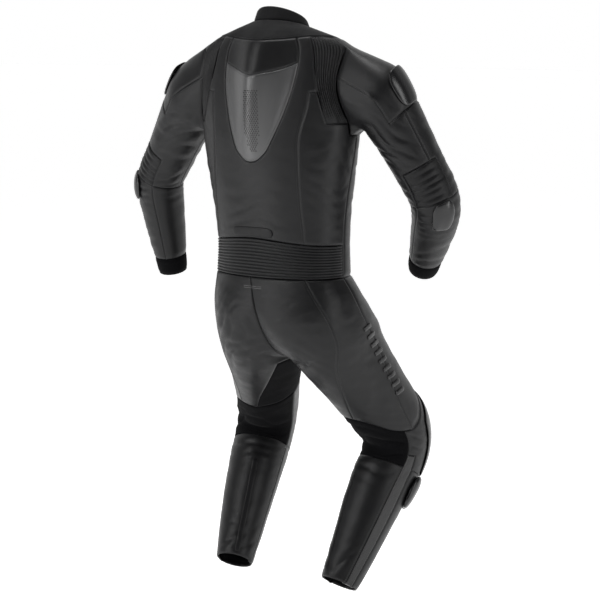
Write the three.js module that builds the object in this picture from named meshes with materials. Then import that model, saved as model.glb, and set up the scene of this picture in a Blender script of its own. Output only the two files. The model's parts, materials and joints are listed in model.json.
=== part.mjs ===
// A one-piece leather race suit for motorcycling, filled out as if worn, with bent knees and elbows.
// Millimetres, +Z up, front towards -Y, the wearer's left towards +X.
// The origin is the middle of the shoulders, below the collar, where a wearer carries the suit.
import * as THREE from 'three';

const rad = THREE.MathUtils.degToRad;
const point = (x, y, z) => new THREE.Vector3(x, y, z);
const mix = THREE.MathUtils.lerp;

// Cloth
const WALL = 2.4;            // leather with its backing
const SEAM_GAP = 0.4;        // between two panels along a seam
const SHARP_GAP = 5;         // times wider seams where the cloth turns sharply

// Colours of the cloth and of the hard parts
const LEATHER = { color: 0x1d1d1e, roughness: 0.45, metalness: 0 };
const STRETCH = { color: 0x0e0e0f, roughness: 0.95, metalness: 0 };
const RIBBED = { color: 0x151516, roughness: 0.6, metalness: 0 };
const HARD = { color: 0x0a0a0b, roughness: 0.3, metalness: 0 };
const METAL = { color: 0x9a9a9c, roughness: 0.3, metalness: 1 };

// Torso sections from the waist seam to the top of the collar. z: height of the section's middle; side, back
// and front: half sizes; pitch: degrees that its back is raised; turn: degrees turned to the wearer's right.
const TORSO = [
  { z: -553, side: 173, back: 114, front: 122, y: 0, pitch: 0, turn: -9, power: 2.3 },
  { z: -480, side: 170, back: 110, front: 120, y: 0, pitch: 0, turn: -8, power: 2.3 },
  { z: -400, side: 174, back: 114, front: 122, y: 4, pitch: 0, turn: -6, power: 2.3 },
  { z: -320, side: 184, back: 122, front: 124, y: 6, pitch: 0, turn: -3, power: 2.3 },
  { z: -240, side: 196, back: 128, front: 120, y: 6, pitch: 1, turn: 0, power: 2.2 },
  { z: -170, side: 198, back: 126, front: 112, y: 4, pitch: 3, turn: 3, power: 2.2 },
  { z: -110, side: 204, back: 120, front: 98, y: 2, pitch: 5, turn: 4, power: 2.1 },
  { z: -70, side: 206, back: 112, front: 86, y: 0, pitch: 7, turn: 5, power: 2 },
  { z: -42, side: 200, back: 104, front: 76, y: 0, pitch: 9, turn: 5, power: 2 },
  { z: -24, side: 178, back: 98, front: 70, y: 0, pitch: 11, turn: 5, power: 2 },
  { z: -8, side: 146, back: 90, front: 66, y: 0, pitch: 13, turn: 4, power: 2 },
  { z: 6, side: 98, back: 78, front: 62, y: 0, pitch: 15, turn: 3, power: 2 },
  { z: 17, side: 66, back: 64, front: 60, y: 0, pitch: 17, turn: 2, power: 2 },
  { z: 28, side: 61, back: 60, front: 58, y: 0, pitch: 19, turn: 1, power: 2 },
  { z: 40, side: 58, back: 58, front: 56, y: 0, pitch: 22, turn: 0, power: 2 },
];

// The hump behind the neck: how far it stands out, and its half width at its foot, at each height.
const HUMP = [
  { z: -300, rise: 0, half: 20 },
  { z: -262, rise: 7, half: 34 },
  { z: -200, rise: 20, half: 46 },
  { z: -130, rise: 30, half: 56 },
  { z: -75, rise: 34, half: 64 },
  { z: -40, rise: 30, half: 68 },
  { z: -16, rise: 14, half: 62 },
  { z: 4, rise: 0, half: 50 },
];

// Legs. Joints: the middle of the waist seam, the hip, the knee and the trouser hem.
const LEG_JOINTS = {
  left: [
    { at: 0, p: point(0, 0, -553) },
    { at: 100, p: point(42, 0, -652), round: 60 },
    { at: 500, p: point(190, -228, -965), round: 75 },
    { at: 865, p: point(146, -8, -1272) },
  ],
  right: [
    { at: 0, p: point(0, 0, -553) },
    { at: 100, p: point(-92, -6, -652), round: 60 },
    { at: 300, p: point(-150, -128, -812), round: 90 },
    { at: 500, p: point(-172, -236, -978), round: 75 },
    { at: 865, p: point(-130, -42, -1296) },
  ],
};

// Degrees that each leg is turned out, from the hip's middle down to the knee.
const TURN_OUT = { left: 10, right: 24, from: 120, to: 420 };

// The hips are turned with the waist, and the turn dies out down the thigh.
const HIP_TURN_END = 240;

// Leg sections. at: place along the leg; level: 1 where the section lies flat, 0 where it follows the leg.
const LEG = [
  { at: 0, out: 173, inner: 173, back: 114, front: 122, level: 1, power: 2.3 },
  { at: 50, out: 150, inner: 165, back: 122, front: 128, level: 0.95, power: 2.3 },
  { at: 100, out: 124, inner: 140, back: 134, front: 132, level: 0.85, power: 2.3 },
  { at: 145, out: 108, inner: 116, back: 138, front: 128, level: 0.6, power: 2.2 },
  { at: 188, out: 97, inner: 96, back: 130, front: 118, level: 0.35, power: 2.1 },
  { at: 240, out: 88, inner: 84, back: 114, front: 102, level: 0.12, power: 2.05 },
  { at: 310, out: 82, inner: 78, back: 98, front: 96, level: 0, power: 2 },
  { at: 390, out: 78, inner: 72, back: 84, front: 98, level: 0, power: 2 },
  { at: 450, out: 76, inner: 70, back: 72, front: 108, level: 0, power: 2 },
  { at: 500, out: 75, inner: 68, back: 66, front: 110, level: 0, power: 2 },
  { at: 550, out: 74, inner: 66, back: 70, front: 98, level: 0, power: 2 },
  { at: 610, out: 72, inner: 63, back: 74, front: 84, level: 0, power: 2 },
  { at: 690, out: 67, inner: 58, back: 68, front: 72, level: 0, power: 2 },
  { at: 780, out: 58, inner: 51, back: 57, front: 60, level: 0, power: 2 },
  { at: 865, out: 45, inner: 45, back: 47, front: 46, level: 0, power: 2 },
];

// Folds pressed into a limb. deg: where round the limb; at: along it; spread: degrees; wide: along; deep: mm.
const KNEE_FOLDS = [
  { deg: 0, at: 478, spread: 70, wide: 26, deep: 7 },
  { deg: 10, at: 508, spread: 60, wide: 22, deep: 6 },
  { deg: -20, at: 536, spread: 50, wide: 24, deep: 4 },
];

// Arms. Joints: the shoulder, the elbow and the cuff's end.
const ARM_JOINTS = {
  left: [
    { at: 0, p: point(216, 8, -122) },
    { at: 60, p: point(250, -3, -160), round: 50 },
    { at: 310, p: point(402, -62, -358), round: 55 },
    { at: 550, p: point(410, -130, -588) },
  ],
  right: [
    { at: 0, p: point(-230, -6, -108) },
    { at: 60, p: point(-260, -20, -158), round: 50 },
    { at: 310, p: point(-366, -88, -380), round: 55 },
    { at: 550, p: point(-262, -204, -548) },
  ],
};

// Sleeve sections. tilt: degrees that the section still leans back towards the armhole.
const SLEEVE = [
  { at: 22, out: 92, inner: 84, back: 80, front: 80, tilt: 36, power: 2.2 },
  { at: 50, out: 87, inner: 76, back: 76, front: 76, tilt: 28, power: 2.1 },
  { at: 90, out: 76, inner: 69, back: 70, front: 70, tilt: 16, power: 2 },
  { at: 150, out: 66, inner: 62, back: 66, front: 66, tilt: 4, power: 2 },
  { at: 220, out: 60, inner: 60, back: 62, front: 60, tilt: 0, power: 2 },
  { at: 280, out: 59, inner: 58, back: 64, front: 56, tilt: 0, power: 2 },
  { at: 330, out: 58, inner: 57, back: 62, front: 54, tilt: 0, power: 2 },
  { at: 400, out: 53, inner: 52, back: 53, front: 52, tilt: 0, power: 2 },
  { at: 480, out: 43, inner: 43, back: 44, front: 43, tilt: 0, power: 2 },
  { at: 550, out: 36, inner: 36, back: 37, front: 36, tilt: 0, power: 2 },
];

const ELBOW_FOLDS = [
  { deg: 205, at: 292, spread: 70, wide: 22, deep: 6 },
  { deg: 190, at: 322, spread: 60, wide: 20, deep: 5 },
];

// Lines down the cloth. Each half of the torso and each leg carries the same lines, from its back to its
// front. On the torso a line's degrees change with the height, on a leg with the place along it.
const LINES = ['ridge', 'inner', 'hump', 'back', 'princess', 'pleatIn', 'pleatMid', 'armBack', 'sideBack',
  'side', 'sideFront', 'armFront', 'chest', 'breast', 'rib', 'belly', 'placket', 'zip'];

const TORSO_LINES = [
  { z: -553, ridge: 9, inner: 18, hump: 32, back: 46, princess: 60, pleatIn: 67, pleatMid: 74, armBack: 81,
    sideBack: 88, side: 95, sideFront: 104, armFront: 113, chest: 123, breast: 133, rib: 144, belly: 155,
    placket: 166, zip: 176 },
  { z: -465, ridge: 9, inner: 18, hump: 32, back: 46, princess: 59, pleatIn: 66, pleatMid: 73, armBack: 80,
    sideBack: 87, side: 95, sideFront: 104, armFront: 113, chest: 123, breast: 133, rib: 144, belly: 155,
    placket: 166, zip: 176 },
  { z: -361, ridge: 9, inner: 18, hump: 28, back: 40, princess: 52, pleatIn: 62, pleatMid: 71, armBack: 79,
    sideBack: 87, side: 95, sideFront: 104, armFront: 113, chest: 123, breast: 133, rib: 144, belly: 155,
    placket: 166, zip: 176 },
  { z: -271, ridge: 7, inner: 12, hump: 18, back: 33, princess: 47, pleatIn: 62, pleatMid: 71, armBack: 80,
    sideBack: 87, side: 94, sideFront: 101, armFront: 110, chest: 120, breast: 131, rib: 143, belly: 155,
    placket: 166, zip: 176 },
  { z: -220, ridge: 9, inner: 18, hump: 26, back: 36, princess: 46, pleatIn: 66, pleatMid: 75, armBack: 84,
    sideBack: 88, side: 92, sideFront: 96, armFront: 101, chest: 114, breast: 128, rib: 142, belly: 155,
    placket: 166, zip: 176 },
  { z: -153, ridge: 9, inner: 22, hump: 35, back: 43, princess: 51, pleatIn: 58, pleatMid: 65, armBack: 71,
    sideBack: 81, side: 90, sideFront: 99, armFront: 109, chest: 119, breast: 130, rib: 142, belly: 154,
    placket: 166, zip: 176 },
  { z: -105, ridge: 9, inner: 25, hump: 40, back: 45, princess: 50, pleatIn: 55, pleatMid: 62, armBack: 69,
    sideBack: 80, side: 90, sideFront: 101, armFront: 112, chest: 121, breast: 131, rib: 142, belly: 154,
    placket: 166, zip: 176 },
  { z: -62, ridge: 10, inner: 27, hump: 43, back: 47, princess: 51, pleatIn: 55, pleatMid: 64, armBack: 73,
    sideBack: 81, side: 90, sideFront: 100, armFront: 110, chest: 120, breast: 131, rib: 142, belly: 154,
    placket: 166, zip: 175 },
  { z: -34, ridge: 10, inner: 28, hump: 44, back: 48, princess: 52, pleatIn: 56, pleatMid: 67, armBack: 78,
    sideBack: 84, side: 90, sideFront: 98, armFront: 106, chest: 117, breast: 129, rib: 141, belly: 153,
    placket: 165, zip: 174 },
  { z: 40, ridge: 9, inner: 18, hump: 28, back: 37, princess: 46, pleatIn: 56, pleatMid: 67, armBack: 78,
    sideBack: 84, side: 90, sideFront: 98, armFront: 106, chest: 116, breast: 126, rib: 137, belly: 148,
    placket: 159, zip: 170 },
];

const LEG_LINES = [
  { at: 188, ridge: -68, inner: -46, hump: -22, back: 2, princess: 25, pleatIn: 40, pleatMid: 54, armBack: 68,
    sideBack: 82, side: 96, sideFront: 110, armFront: 125, chest: 142, breast: 160, rib: 178, belly: 197,
    placket: 218, zip: 244 },
  { at: 244, ridge: -62, inner: -35, hump: -16, back: 1, princess: 17, pleatIn: 33, pleatMid: 49, armBack: 65,
    sideBack: 81, side: 97, sideFront: 112, armFront: 128, chest: 145, breast: 162, rib: 180, belly: 200,
    placket: 222, zip: 246 },
  { at: 345, ridge: -52, inner: -14, hump: -5, back: 4, princess: 13, pleatIn: 30, pleatMid: 48, armBack: 65,
    sideBack: 82, side: 100, sideFront: 116, armFront: 132, chest: 149, breast: 166, rib: 184, belly: 203,
    placket: 224, zip: 247 },
  { at: 500, ridge: -66, inner: -44, hump: -22, back: -1, princess: 19, pleatIn: 38, pleatMid: 56,
    armBack: 74,
    sideBack: 92, side: 110, sideFront: 127, armFront: 143, chest: 159, breast: 175, rib: 191, belly: 208,
    placket: 227, zip: 248 },
  { at: 620, ridge: -66, inner: -43, hump: -20, back: 2, princess: 22, pleatIn: 41, pleatMid: 57, armBack: 71,
    sideBack: 85, side: 111, sideFront: 127, armFront: 143, chest: 159, breast: 175, rib: 191, belly: 208,
    placket: 227, zip: 248 },
  { at: 865, ridge: -68, inner: -46, hump: -25, back: -5, princess: 14, pleatIn: 31, pleatMid: 46,
    armBack: 60,
    sideBack: 73, side: 100, sideFront: 120, armFront: 139, chest: 157, breast: 174, rib: 191, belly: 208,
    placket: 227, zip: 248 },
];

// Rows up the torso. Heights at the middle of the back, at the side and at the middle of the front; foot: how
// much lower the row dips between the two edges of the hump.
const TORSO_ROWS = [
  { name: 'waist', back: -553, side: -553, front: -553 },
  { name: 'pleat1', back: -523, side: -528, front: -528 },
  { name: 'pleat2', back: -493, side: -503, front: -503 },
  { name: 'beltTop', back: -463, side: -478, front: -478 },
  { name: 'padTop', back: -432, side: -440, front: -440 },
  { name: 'lumbar', back: -392, side: -398, front: -398 },
  { name: 'midBack', back: -350, side: -350, front: -350 },
  { name: 'ribs', back: -316, side: -305, front: -305 },
  { name: 'humpFoot', back: -262, side: -262, front: -265, foot: 27 },
  { name: 'armpit', back: -240, side: -228, front: -232 },
  { name: 'scye1', back: -212, side: -200, front: -205 },
  { name: 'scye2', back: -178, side: -165, front: -172 },
  { name: 'scye3', back: -146, side: -130, front: -138 },
  { name: 'scye4', back: -118, side: -100, front: -107 },
  { name: 'capSeam', back: -80, side: -70, front: -76, foot: 26 },
  { name: 'shoulder', back: -58, side: -36, front: -46 },
  { name: 'yoke', back: -36, side: -12, front: -15 },
  { name: 'neckSlope', back: -12, side: 3, front: 2 },
  { name: 'neck', back: 14, side: 17, front: 17 },
  { name: 'collarTop', back: 40, side: 39, front: 38 },
];

// Rows down a leg. at: along it at the back; drop: how much further down the row lies on its outer side.
const LEG_ROWS = [
  { name: 'waist', at: 0 },
  { name: 'hip1', at: 30 },
  { name: 'hip2', at: 62 },
  { name: 'hip3', at: 95 },
  { name: 'hip4', at: 128 },
  { name: 'hip5', at: 160 },
  { name: 'crotch', at: 188 },
  { name: 'thigh1', at: 222, drop: 8 },
  { name: 'thigh2', at: 262, drop: 38 },
  { name: 'thigh3', at: 303, drop: 74 },
  { name: 'kneeTop', at: 345, drop: 108 },
  { name: 'knee1', at: 385, drop: 84 },
  { name: 'knee2', at: 420, drop: 64 },
  { name: 'knee3', at: 452, drop: 46 },
  { name: 'knee4', at: 480, drop: 32 },
  { name: 'knee5', at: 508, drop: 18 },
  { name: 'knee6', at: 534, drop: 8 },
  { name: 'kneeLow', at: 562 },
  { name: 'calf1', at: 600 },
  { name: 'calf2', at: 645 },
  { name: 'calf3', at: 695 },
  { name: 'calf4', at: 745 },
  { name: 'calf5', at: 795 },
  { name: 'calf6', at: 835 },
  { name: 'hem', at: 865 },
];

// Rows down a sleeve after the armhole, and the rows where its panels end.
const SLEEVE_ROWS = [42, 72, 102, 136, 174, 212, 244, 268, 292, 318, 348, 392, 444, 505, 550];
const SHOULDER_END = 3;
const PLEATS_START = 6;
const PLEATS_END = 9;
const CUFF_START = 14;
const AROUND = 20;                      // lines round a sleeve
const FIRST_DEG = 54;                   // the first one runs down from the armhole's upper back corner

// Above the crotch, which is CROTCH down each leg, the two halves meet in a plane that leans a little.
const CROTCH = 188;
const CROTCH_SHIFT = -20;   // how far the crotch lies to the right of the waist's middle
const GUSSET_DROP = 14;     // how far the seam between the halves is let down at the crotch
const PULL_REACH = 75;      // degrees from the rise over which the pull fades
const PULL_END = 340;       // place along a leg where it has faded

// Ribs in one cell of a pleated panel, and the panels that are not plain leather.
const WAIST_RIBS = { count: 4 };
const SHOULDER_RIBS = { count: 5, across: true };
const ELBOW_RIBS = { count: 2 };
const RIB_HEIGHT = 2;
const STRETCH_PANELS = ['inner_stretch', 'knee_back', 'cuff'];
const RIBBED_PANELS = ['waist_pleats', 'shoulder_pleats', 'elbow_pleats'];

// Plates on the cloth, and the zip's slider and pull tab.
const PLATE = { low: 0.35, gap: 1.5 };
const SLIDER = { width: 6, height: 16, base: 3, wall: 2, window: { tall: 4.4, deep: 3 } };
const PULL = { width: 12, length: 34, thick: 1.6, bar: 2, slot: { wide: 7.2, end: 6.6 }, corner: 3 };

// Reads a table at any place between its rows: each column is a smooth curve through its values.
function readTable(table, key, at) {
  const last = table.length - 1;
  let k = 0;
  while (k < last - 1 && at > table[k + 1][key]) k += 1;
  const rows = [table[Math.max(k - 1, 0)], table[k], table[k + 1], table[Math.min(k + 2, last)]];
  const span = rows[2][key] - rows[1][key];
  const t = Math.min(Math.max((at - rows[1][key]) / span, 0), 1);
  const slope = (a, b, column) => {
    if (b[key] === a[key]) return 0;
    return ((b[column] - a[column]) / (b[key] - a[key])) * span;
  };
  const read = {};
  for (const column of Object.keys(rows[1])) {
    if (typeof rows[1][column] !== 'number') continue;
    const [p, q] = [rows[1][column], rows[2][column]];
    const [m, n] = [slope(rows[0], rows[2], column), slope(rows[1], rows[3], column)];
    const t2 = t * t;
    const t3 = t2 * t;
    read[column] = (2 * t3 - 3 * t2 + 1) * p + (t3 - 2 * t2 + t) * m + (3 * t2 - 2 * t3) * q + (t3 - t2) * n;
  }
  return read;
}

// Distance from a section's middle to its edge: an oval with its own size on each side, squared by a power.
function ovalRadius(sin, cos, right, left, back, front, power) {
  const across = Math.abs(sin / (sin > 0 ? left : right)) ** power;
  const deep = Math.abs(cos / (cos > 0 ? back : front)) ** power;
  return (across + deep) ** (-1 / power);
}

function humpRise(x, z) {
  if (z <= HUMP[0].z || z >= HUMP.at(-1).z) return 0;
  const { rise, half } = readTable(HUMP, 'z', z);
  const share = Math.min(Math.abs(x) / half, 1);
  return rise * (1 - share ** 2.6) ** 1.6;
}

// A point on the torso: deg 0 is the middle of the back, 90 the wearer's left side, 180 the front.
function torsoPoint(deg, z) {
  const s = readTable(TORSO, 'z', z);
  const [sin, cos] = [Math.sin(rad(deg)), Math.cos(rad(deg))];
  const reach = ovalRadius(sin, cos, s.side, s.side, s.back, s.front, s.power);
  const x = reach * sin;
  const y = reach * cos + (cos > 0 ? humpRise(x, z) : 0);
  const turn = rad(s.turn);
  return point(
    x * Math.cos(turn) - y * Math.sin(turn),
    s.y + x * Math.sin(turn) + y * Math.cos(turn),
    z + y * Math.tan(rad(s.pitch)),
  );
}

// A limb's middle line runs straight between its joints and rounds each corner.
function limbPath(joints, at) {
  let k = 0;
  while (k < joints.length - 2 && at > joints[k + 1].at) k += 1;
  const along = (a, b, where) => a.p.clone().lerp(b.p, (where - a.at) / (b.at - a.at));
  for (const corner of [k, k + 1]) {
    const bend = joints[corner].round ?? 0;
    if (bend === 0 || Math.abs(at - joints[corner].at) >= bend) continue;
    const { at: middle } = joints[corner];
    const start = along(joints[corner - 1], joints[corner], middle - bend);
    const end = along(joints[corner], joints[corner + 1], middle + bend);
    const t = (at - middle + bend) / (2 * bend);
    return start.lerp(joints[corner].p, t).lerp(joints[corner].p.clone().lerp(end, t), t);
  }
  return along(joints[k], joints[k + 1], at);
}

// The three directions of a limb's section: along it, to its outer side and to its back.
function limbFrame(joints, at, side, level, turnOut = 0) {
  const along = limbPath(joints, at + 2).sub(limbPath(joints, at - 2)).normalize();
  along.lerp(point(0, 0, -1), level).normalize();
  const back = point(-side * Math.sin(turnOut), Math.cos(turnOut), 0);
  back.addScaledVector(along, -back.dot(along)).normalize();
  const out = point(0, 0, 0).crossVectors(along, back).normalize();
  if (out.x * side < 0) out.negate();
  return { along, back, out };
}

function foldDepth(folds, deg, at) {
  let depth = 0;
  for (const fold of folds) {
    const across = (((deg - fold.deg + 540) % 360) - 180) / fold.spread;
    const along = (at - fold.at) / fold.wide;
    if (Math.abs(across) < 1 && Math.abs(along) < 1) {
      depth += fold.deep * Math.cos((Math.PI / 2) * across) ** 2 * Math.cos((Math.PI / 2) * along) ** 2;
    }
  }
  return depth;
}

// A point on a leg: deg 0 is its back, 90 its outer side, 180 its front, -90 or 270 its inner side.
function straightLegPoint(side, deg, at) {
  const joints = LEG_JOINTS[side];
  const s = readTable(LEG, 'at', at);
  const turned = TURN_OUT[side] * THREE.MathUtils.smoothstep(at, TURN_OUT.from, TURN_OUT.to);
  const frame = limbFrame(joints, at, side === 'left' ? 1 : -1, s.level, rad(turned));
  const [sin, cos] = [Math.sin(rad(deg)), Math.cos(rad(deg))];
  const oval = ovalRadius(sin, cos, s.inner, s.out, s.back, s.front, s.power);
  const reach = oval - foldDepth(KNEE_FOLDS, deg, at);
  const middle = limbPath(joints, at);
  return middle.addScaledVector(frame.out, reach * sin).addScaledVector(frame.back, reach * cos);
}

function legPoint(side, deg, at) {
  const turn = TORSO[0].turn * (1 - Math.min(at / HIP_TURN_END, 1)) ** 2;
  return straightLegPoint(side, deg, at).applyAxisAngle(point(0, 0, 1), rad(turn));
}

function riseAngle(side, at, front) {
  if (at >= CROTCH) return front ? 270 : -90;
  const sign = side === 'left' ? 1 : -1;
  let [outside, inside] = front ? [180 - 60, 270] : [60, -90];
  for (let i = 0; i < 40; i += 1) {
    const middle = (outside + inside) / 2;
    if ((straightLegPoint(side, middle, at).x - (CROTCH_SHIFT * at) / CROTCH) * sign > 0) outside = middle;
    else inside = middle;
  }
  return (outside + inside) / 2;
}

function sleeveSection(side, deg, s) {
  const joints = ARM_JOINTS[side];
  const sign = side === 'left' ? 1 : -1;
  const frame = limbFrame(joints, s.at, sign, 0);
  const tilt = rad(s.tilt);
  const out = frame.out.clone().multiplyScalar(Math.cos(tilt)).addScaledVector(frame.along, -Math.sin(tilt));
  const [sin, cos] = [Math.sin(rad(deg)), Math.cos(rad(deg))];
  const oval = ovalRadius(sin, cos, s.inner, s.out, s.back, s.front, s.power);
  const reach = oval - foldDepth(ELBOW_FOLDS, deg, s.at);
  return limbPath(joints, s.at).addScaledVector(out, reach * sin).addScaledVector(frame.back, reach * cos);
}

const torsoRow = (name) => TORSO_ROWS.findIndex((row) => row.name === name);

const legRow = (name) => LEG_ROWS.findIndex((row) => row.name === name);

const MIDDLE = LINES.length + 1;        // index of a half's last line, at the middle of the front
const line = (name) => LINES.indexOf(name) + 1;

// Corner points of the cloth, shared by all panels that meet there.
const corners = [];
const cornerAt = new Map();

function corner(p) {
  const key = [p.x, p.y, p.z].map((value) => Math.round(value * 500)).join();
  if (!cornerAt.has(key)) {
    cornerAt.set(key, corners.length);
    corners.push({ p: p.clone(), n: point(0, 0, 0) });
  }
  return cornerAt.get(key);
}

// Torso points: rows from the waist up, lines from the middle of the back to the middle of the front.
function torsoGrid(sign) {
  return TORSO_ROWS.map((row) => {
    const points = [];
    for (let j = 0; j <= MIDDLE; j += 1) {
      let deg = j === 0 ? 0 : 180;
      let z = row.back;
      for (let pass = 0; pass < 3; pass += 1) {
        if (j > 0 && j < MIDDLE) deg = readTable(TORSO_LINES, 'z', z)[LINES[j - 1]];
        const share = Math.cos(rad(deg)) ** 2;
        z = mix(row.side, deg < 90 ? row.back : row.front, share);
        const hump = Math.min(j / line('hump'), 1);
        z -= (row.foot ?? 0) * (1 - hump ** 2);
      }
      points.push(torsoPoint(sign * deg, z));
    }
    return points;
  });
}

// Degrees of the lines of a leg at one place along it, from its back rise to its front rise.
function legDegrees(side, at) {
  const low = readTable(LEG_LINES, 'at', Math.max(at, CROTCH));
  const [back, front] = [riseAngle(side, at, false), riseAngle(side, at, true)];
  const fall = THREE.MathUtils.smoothstep(at, 0, CROTCH);
  const inner = LINES.map((name) => {
    if (at >= CROTCH) return low[name];
    const share = mix(TORSO_LINES[0][name] / 180, (low[name] + 90) / 360, fall);
    return mix(back, front, share);
  });
  return [back, ...inner, front];
}

// Above the crotch both halves are drawn to the line halfway between them.
function risePull(at, front) {
  const ends = ['left', 'right'].map((side) => legPoint(side, riseAngle(side, at, front), at));
  const middle = ends[0].clone().lerp(ends[1], 0.5);
  return { left: middle.clone().sub(ends[0]), right: middle.clone().sub(ends[1]) };
}

function legGridPoint(side, j, row) {
  let { at } = row;
  let degrees = legDegrees(side, at);
  for (let pass = 0; pass < 3 && row.drop; pass += 1) {
    const across = Math.min(Math.abs(degrees[j] - 112) / 112, 1);
    at = row.at + row.drop * Math.cos((Math.PI / 2) * across) ** 2;
    degrees = legDegrees(side, at);
  }
  const p = legPoint(side, degrees[j], at);
  const fade = 1 - THREE.MathUtils.smoothstep(at, CROTCH, PULL_END);
  if (fade > 0) {
    for (const [front, end] of [[false, 0], [true, MIDDLE]]) {
      const near = 1 - THREE.MathUtils.smoothstep(Math.abs(degrees[j] - degrees[end]), 0, PULL_REACH);
      const closed = at >= CROTCH ? 0.5 : 1;
      const both = at >= CROTCH && (j === 0 || j === MIDDLE) ? 2 : 1;
      p.addScaledVector(risePull(Math.min(at, CROTCH), front)[side], near * fade * closed * both);
    }
    const low = THREE.MathUtils.smoothstep(at, CROTCH / 2, CROTCH);
    if (j === 0 || j === MIDDLE) p.z -= GUSSET_DROP * fade * low;
  }
  return p;
}

function legGrid(side) {
  return LEG_ROWS.map((row) => {
    const points = [];
    for (let j = 0; j <= MIDDLE; j += 1) points.push(legGridPoint(side, j, row));
    if (row.at >= CROTCH) points[MIDDLE] = points[0].clone();
    return points;
  });
}

// The armhole's edge, from its upper back corner down the back, under the arm and up the front.
function armholeEdge(torso) {
  const [top, low] = [torsoRow('shoulder'), torsoRow('armpit')];
  const [back, front] = [line('armBack'), line('armFront')];
  const edge = [];
  for (let i = top; i > low; i -= 1) edge.push(torso[i][back]);
  for (let j = back; j < front; j += 1) edge.push(torso[low][j]);
  for (let i = low; i < top; i += 1) edge.push(torso[i][front]);
  for (let j = front; j > back; j -= 1) edge.push(torso[top][j]);
  return edge;
}

function sleeveGrid(side, torso) {
  const edge = armholeEdge(torso);
  const rows = [[...edge, edge[0]]];
  for (const at of SLEEVE_ROWS) {
    const section = { ...readTable(SLEEVE, 'at', at), at };
    const points = [];
    for (let k = 0; k <= AROUND; k += 1) {
      points.push(sleeveSection(side, FIRST_DEG - (360 / AROUND) * (k % AROUND), section));
    }
    rows.push(points);
  }
  return rows;
}

// Cells between the rows and lines, sorted into panels. Each cell keeps its corners in order, seen from
// outside: the first to the last of them runs the way its ribs follow one another.
const panels = {};

function addCell(name, quad, middle, ribs) {
  const [p00, p01, p11, p10] = quad;
  const center = p00.clone().add(p11).multiplyScalar(0.5);
  const normal = p11.clone().sub(p00).cross(p10.clone().sub(p01));
  const outward = normal.dot(center.sub(middle)) > 0;
  let order = outward ? [p00, p01, p11, p10] : [p01, p00, p10, p11];
  if (ribs?.across) order = outward ? [p10, p00, p01, p11] : [p00, p10, p11, p01];
  const ids = order.map(corner);
  panels[name] ??= [];
  panels[name].push({ ids, ribs: ribs?.count ?? 0 });
}

function addGrid(grid, middleOf, nameOf, ribsOf) {
  for (let i = 0; i + 1 < grid.length; i += 1) {
    for (let j = 0; j + 1 < grid[i].length; j += 1) {
      const name = nameOf(i, j);
      if (!name) continue;
      const quad = [grid[i][j], grid[i][j + 1], grid[i + 1][j + 1], grid[i + 1][j]];
      addCell(name, quad, middleOf(i, quad), ribsOf(name));
    }
  }
}

function ribsOf(name) {
  if (name === 'waist_pleats') return WAIST_RIBS;
  if (name.startsWith('shoulder_pleats')) return SHOULDER_RIBS;
  if (name.startsWith('elbow_pleats')) return ELBOW_RIBS;
  return null;
}

// The panel that holds the torso cell between row i and the next, line j and the next.
function torsoPanel(side, i, j) {
  const above = (name) => i >= torsoRow(name);
  const inside = (name) => j < line(name);
  if (above('neck')) return 'collar';
  if (above('yoke')) return inside('sideBack') ? 'yoke' : `front_${side}`;
  if (inside('hump') && above('capSeam')) return 'hump_cap';
  if (inside('hump') && above('humpFoot')) return 'hump_shell';
  if (!above('beltTop')) return inside('side') ? 'waist_pleats' : `front_${side}`;
  if (!inside('armBack') && inside('armFront') && above('armpit')) {
    return above('shoulder') ? `shoulder_${side}` : null;
  }
  if (!inside('pleatIn') && inside('armBack') && above('scye1')) return `shoulder_pleats_${side}`;
  if (inside('princess') || (inside('pleatIn') && above('scye3'))) return 'back_panel';
  return inside('side') ? `side_back_${side}` : `front_${side}`;
}

function sleevePanel(side, i, k) {
  const between = (from, to) => (from <= to ? k >= from && k < to : k >= from || k < to);
  if (i >= CUFF_START) return `cuff_${side}`;
  if (i < SHOULDER_END && between(15, 2)) return `shoulder_${side}`;
  if (i >= PLEATS_START && i < PLEATS_END && between(19, 4)) return `elbow_pleats_${side}`;
  if (i < PLEATS_END) {
    if (between(15, 0)) return `sleeve_outer_${side}`;
    return between(0, 8) ? `sleeve_back_${side}` : `sleeve_front_${side}`;
  }
  return between(15, 4) ? `forearm_outer_${side}` : `forearm_inner_${side}`;
}

function legPanel(side, i, j) {
  const below = (name) => i >= legRow(name);
  const inside = (name) => j < line(name);
  if (!below('kneeTop')) {
    if (below('crotch') && (inside('inner') || !inside('placket'))) return `inner_stretch_${side}`;
    if (inside('princess')) return `seat_${side}`;
    return inside('side') ? `thigh_outer_${side}` : `thigh_front_${side}`;
  }
  if (!inside('sideBack') && inside('side') && below('knee5')) return `calf_strip_${side}`;
  if (!below('kneeLow')) return inside('sideBack') ? `knee_back_${side}` : `knee_front_${side}`;
  return inside('sideBack') ? `calf_back_${side}` : `shin_front_${side}`;
}

const grids = { torso: {}, sleeve: {}, leg: {} };
for (const [side, sign] of [['left', 1], ['right', -1]]) {
  const torso = torsoGrid(sign);
  const sleeve = sleeveGrid(side, torso);
  const leg = legGrid(side);
  Object.assign(grids.torso, { [side]: torso });
  Object.assign(grids.sleeve, { [side]: sleeve });
  Object.assign(grids.leg, { [side]: leg });
  addGrid(torso, (i, quad) => point(0, 0, quad[0].z - 30), (i, j) => torsoPanel(side, i, j), ribsOf);
  const armMiddle = (i) => limbPath(ARM_JOINTS[side], i === 0 ? 0 : SLEEVE_ROWS[i - 1]);
  addGrid(sleeve, armMiddle, (i, k) => sleevePanel(side, i, k), ribsOf);
  const legMiddle = (i) => limbPath(LEG_JOINTS[side], LEG_ROWS[i].at);
  addGrid(leg, legMiddle, (i, j) => legPanel(side, i, j), ribsOf);
}

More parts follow.
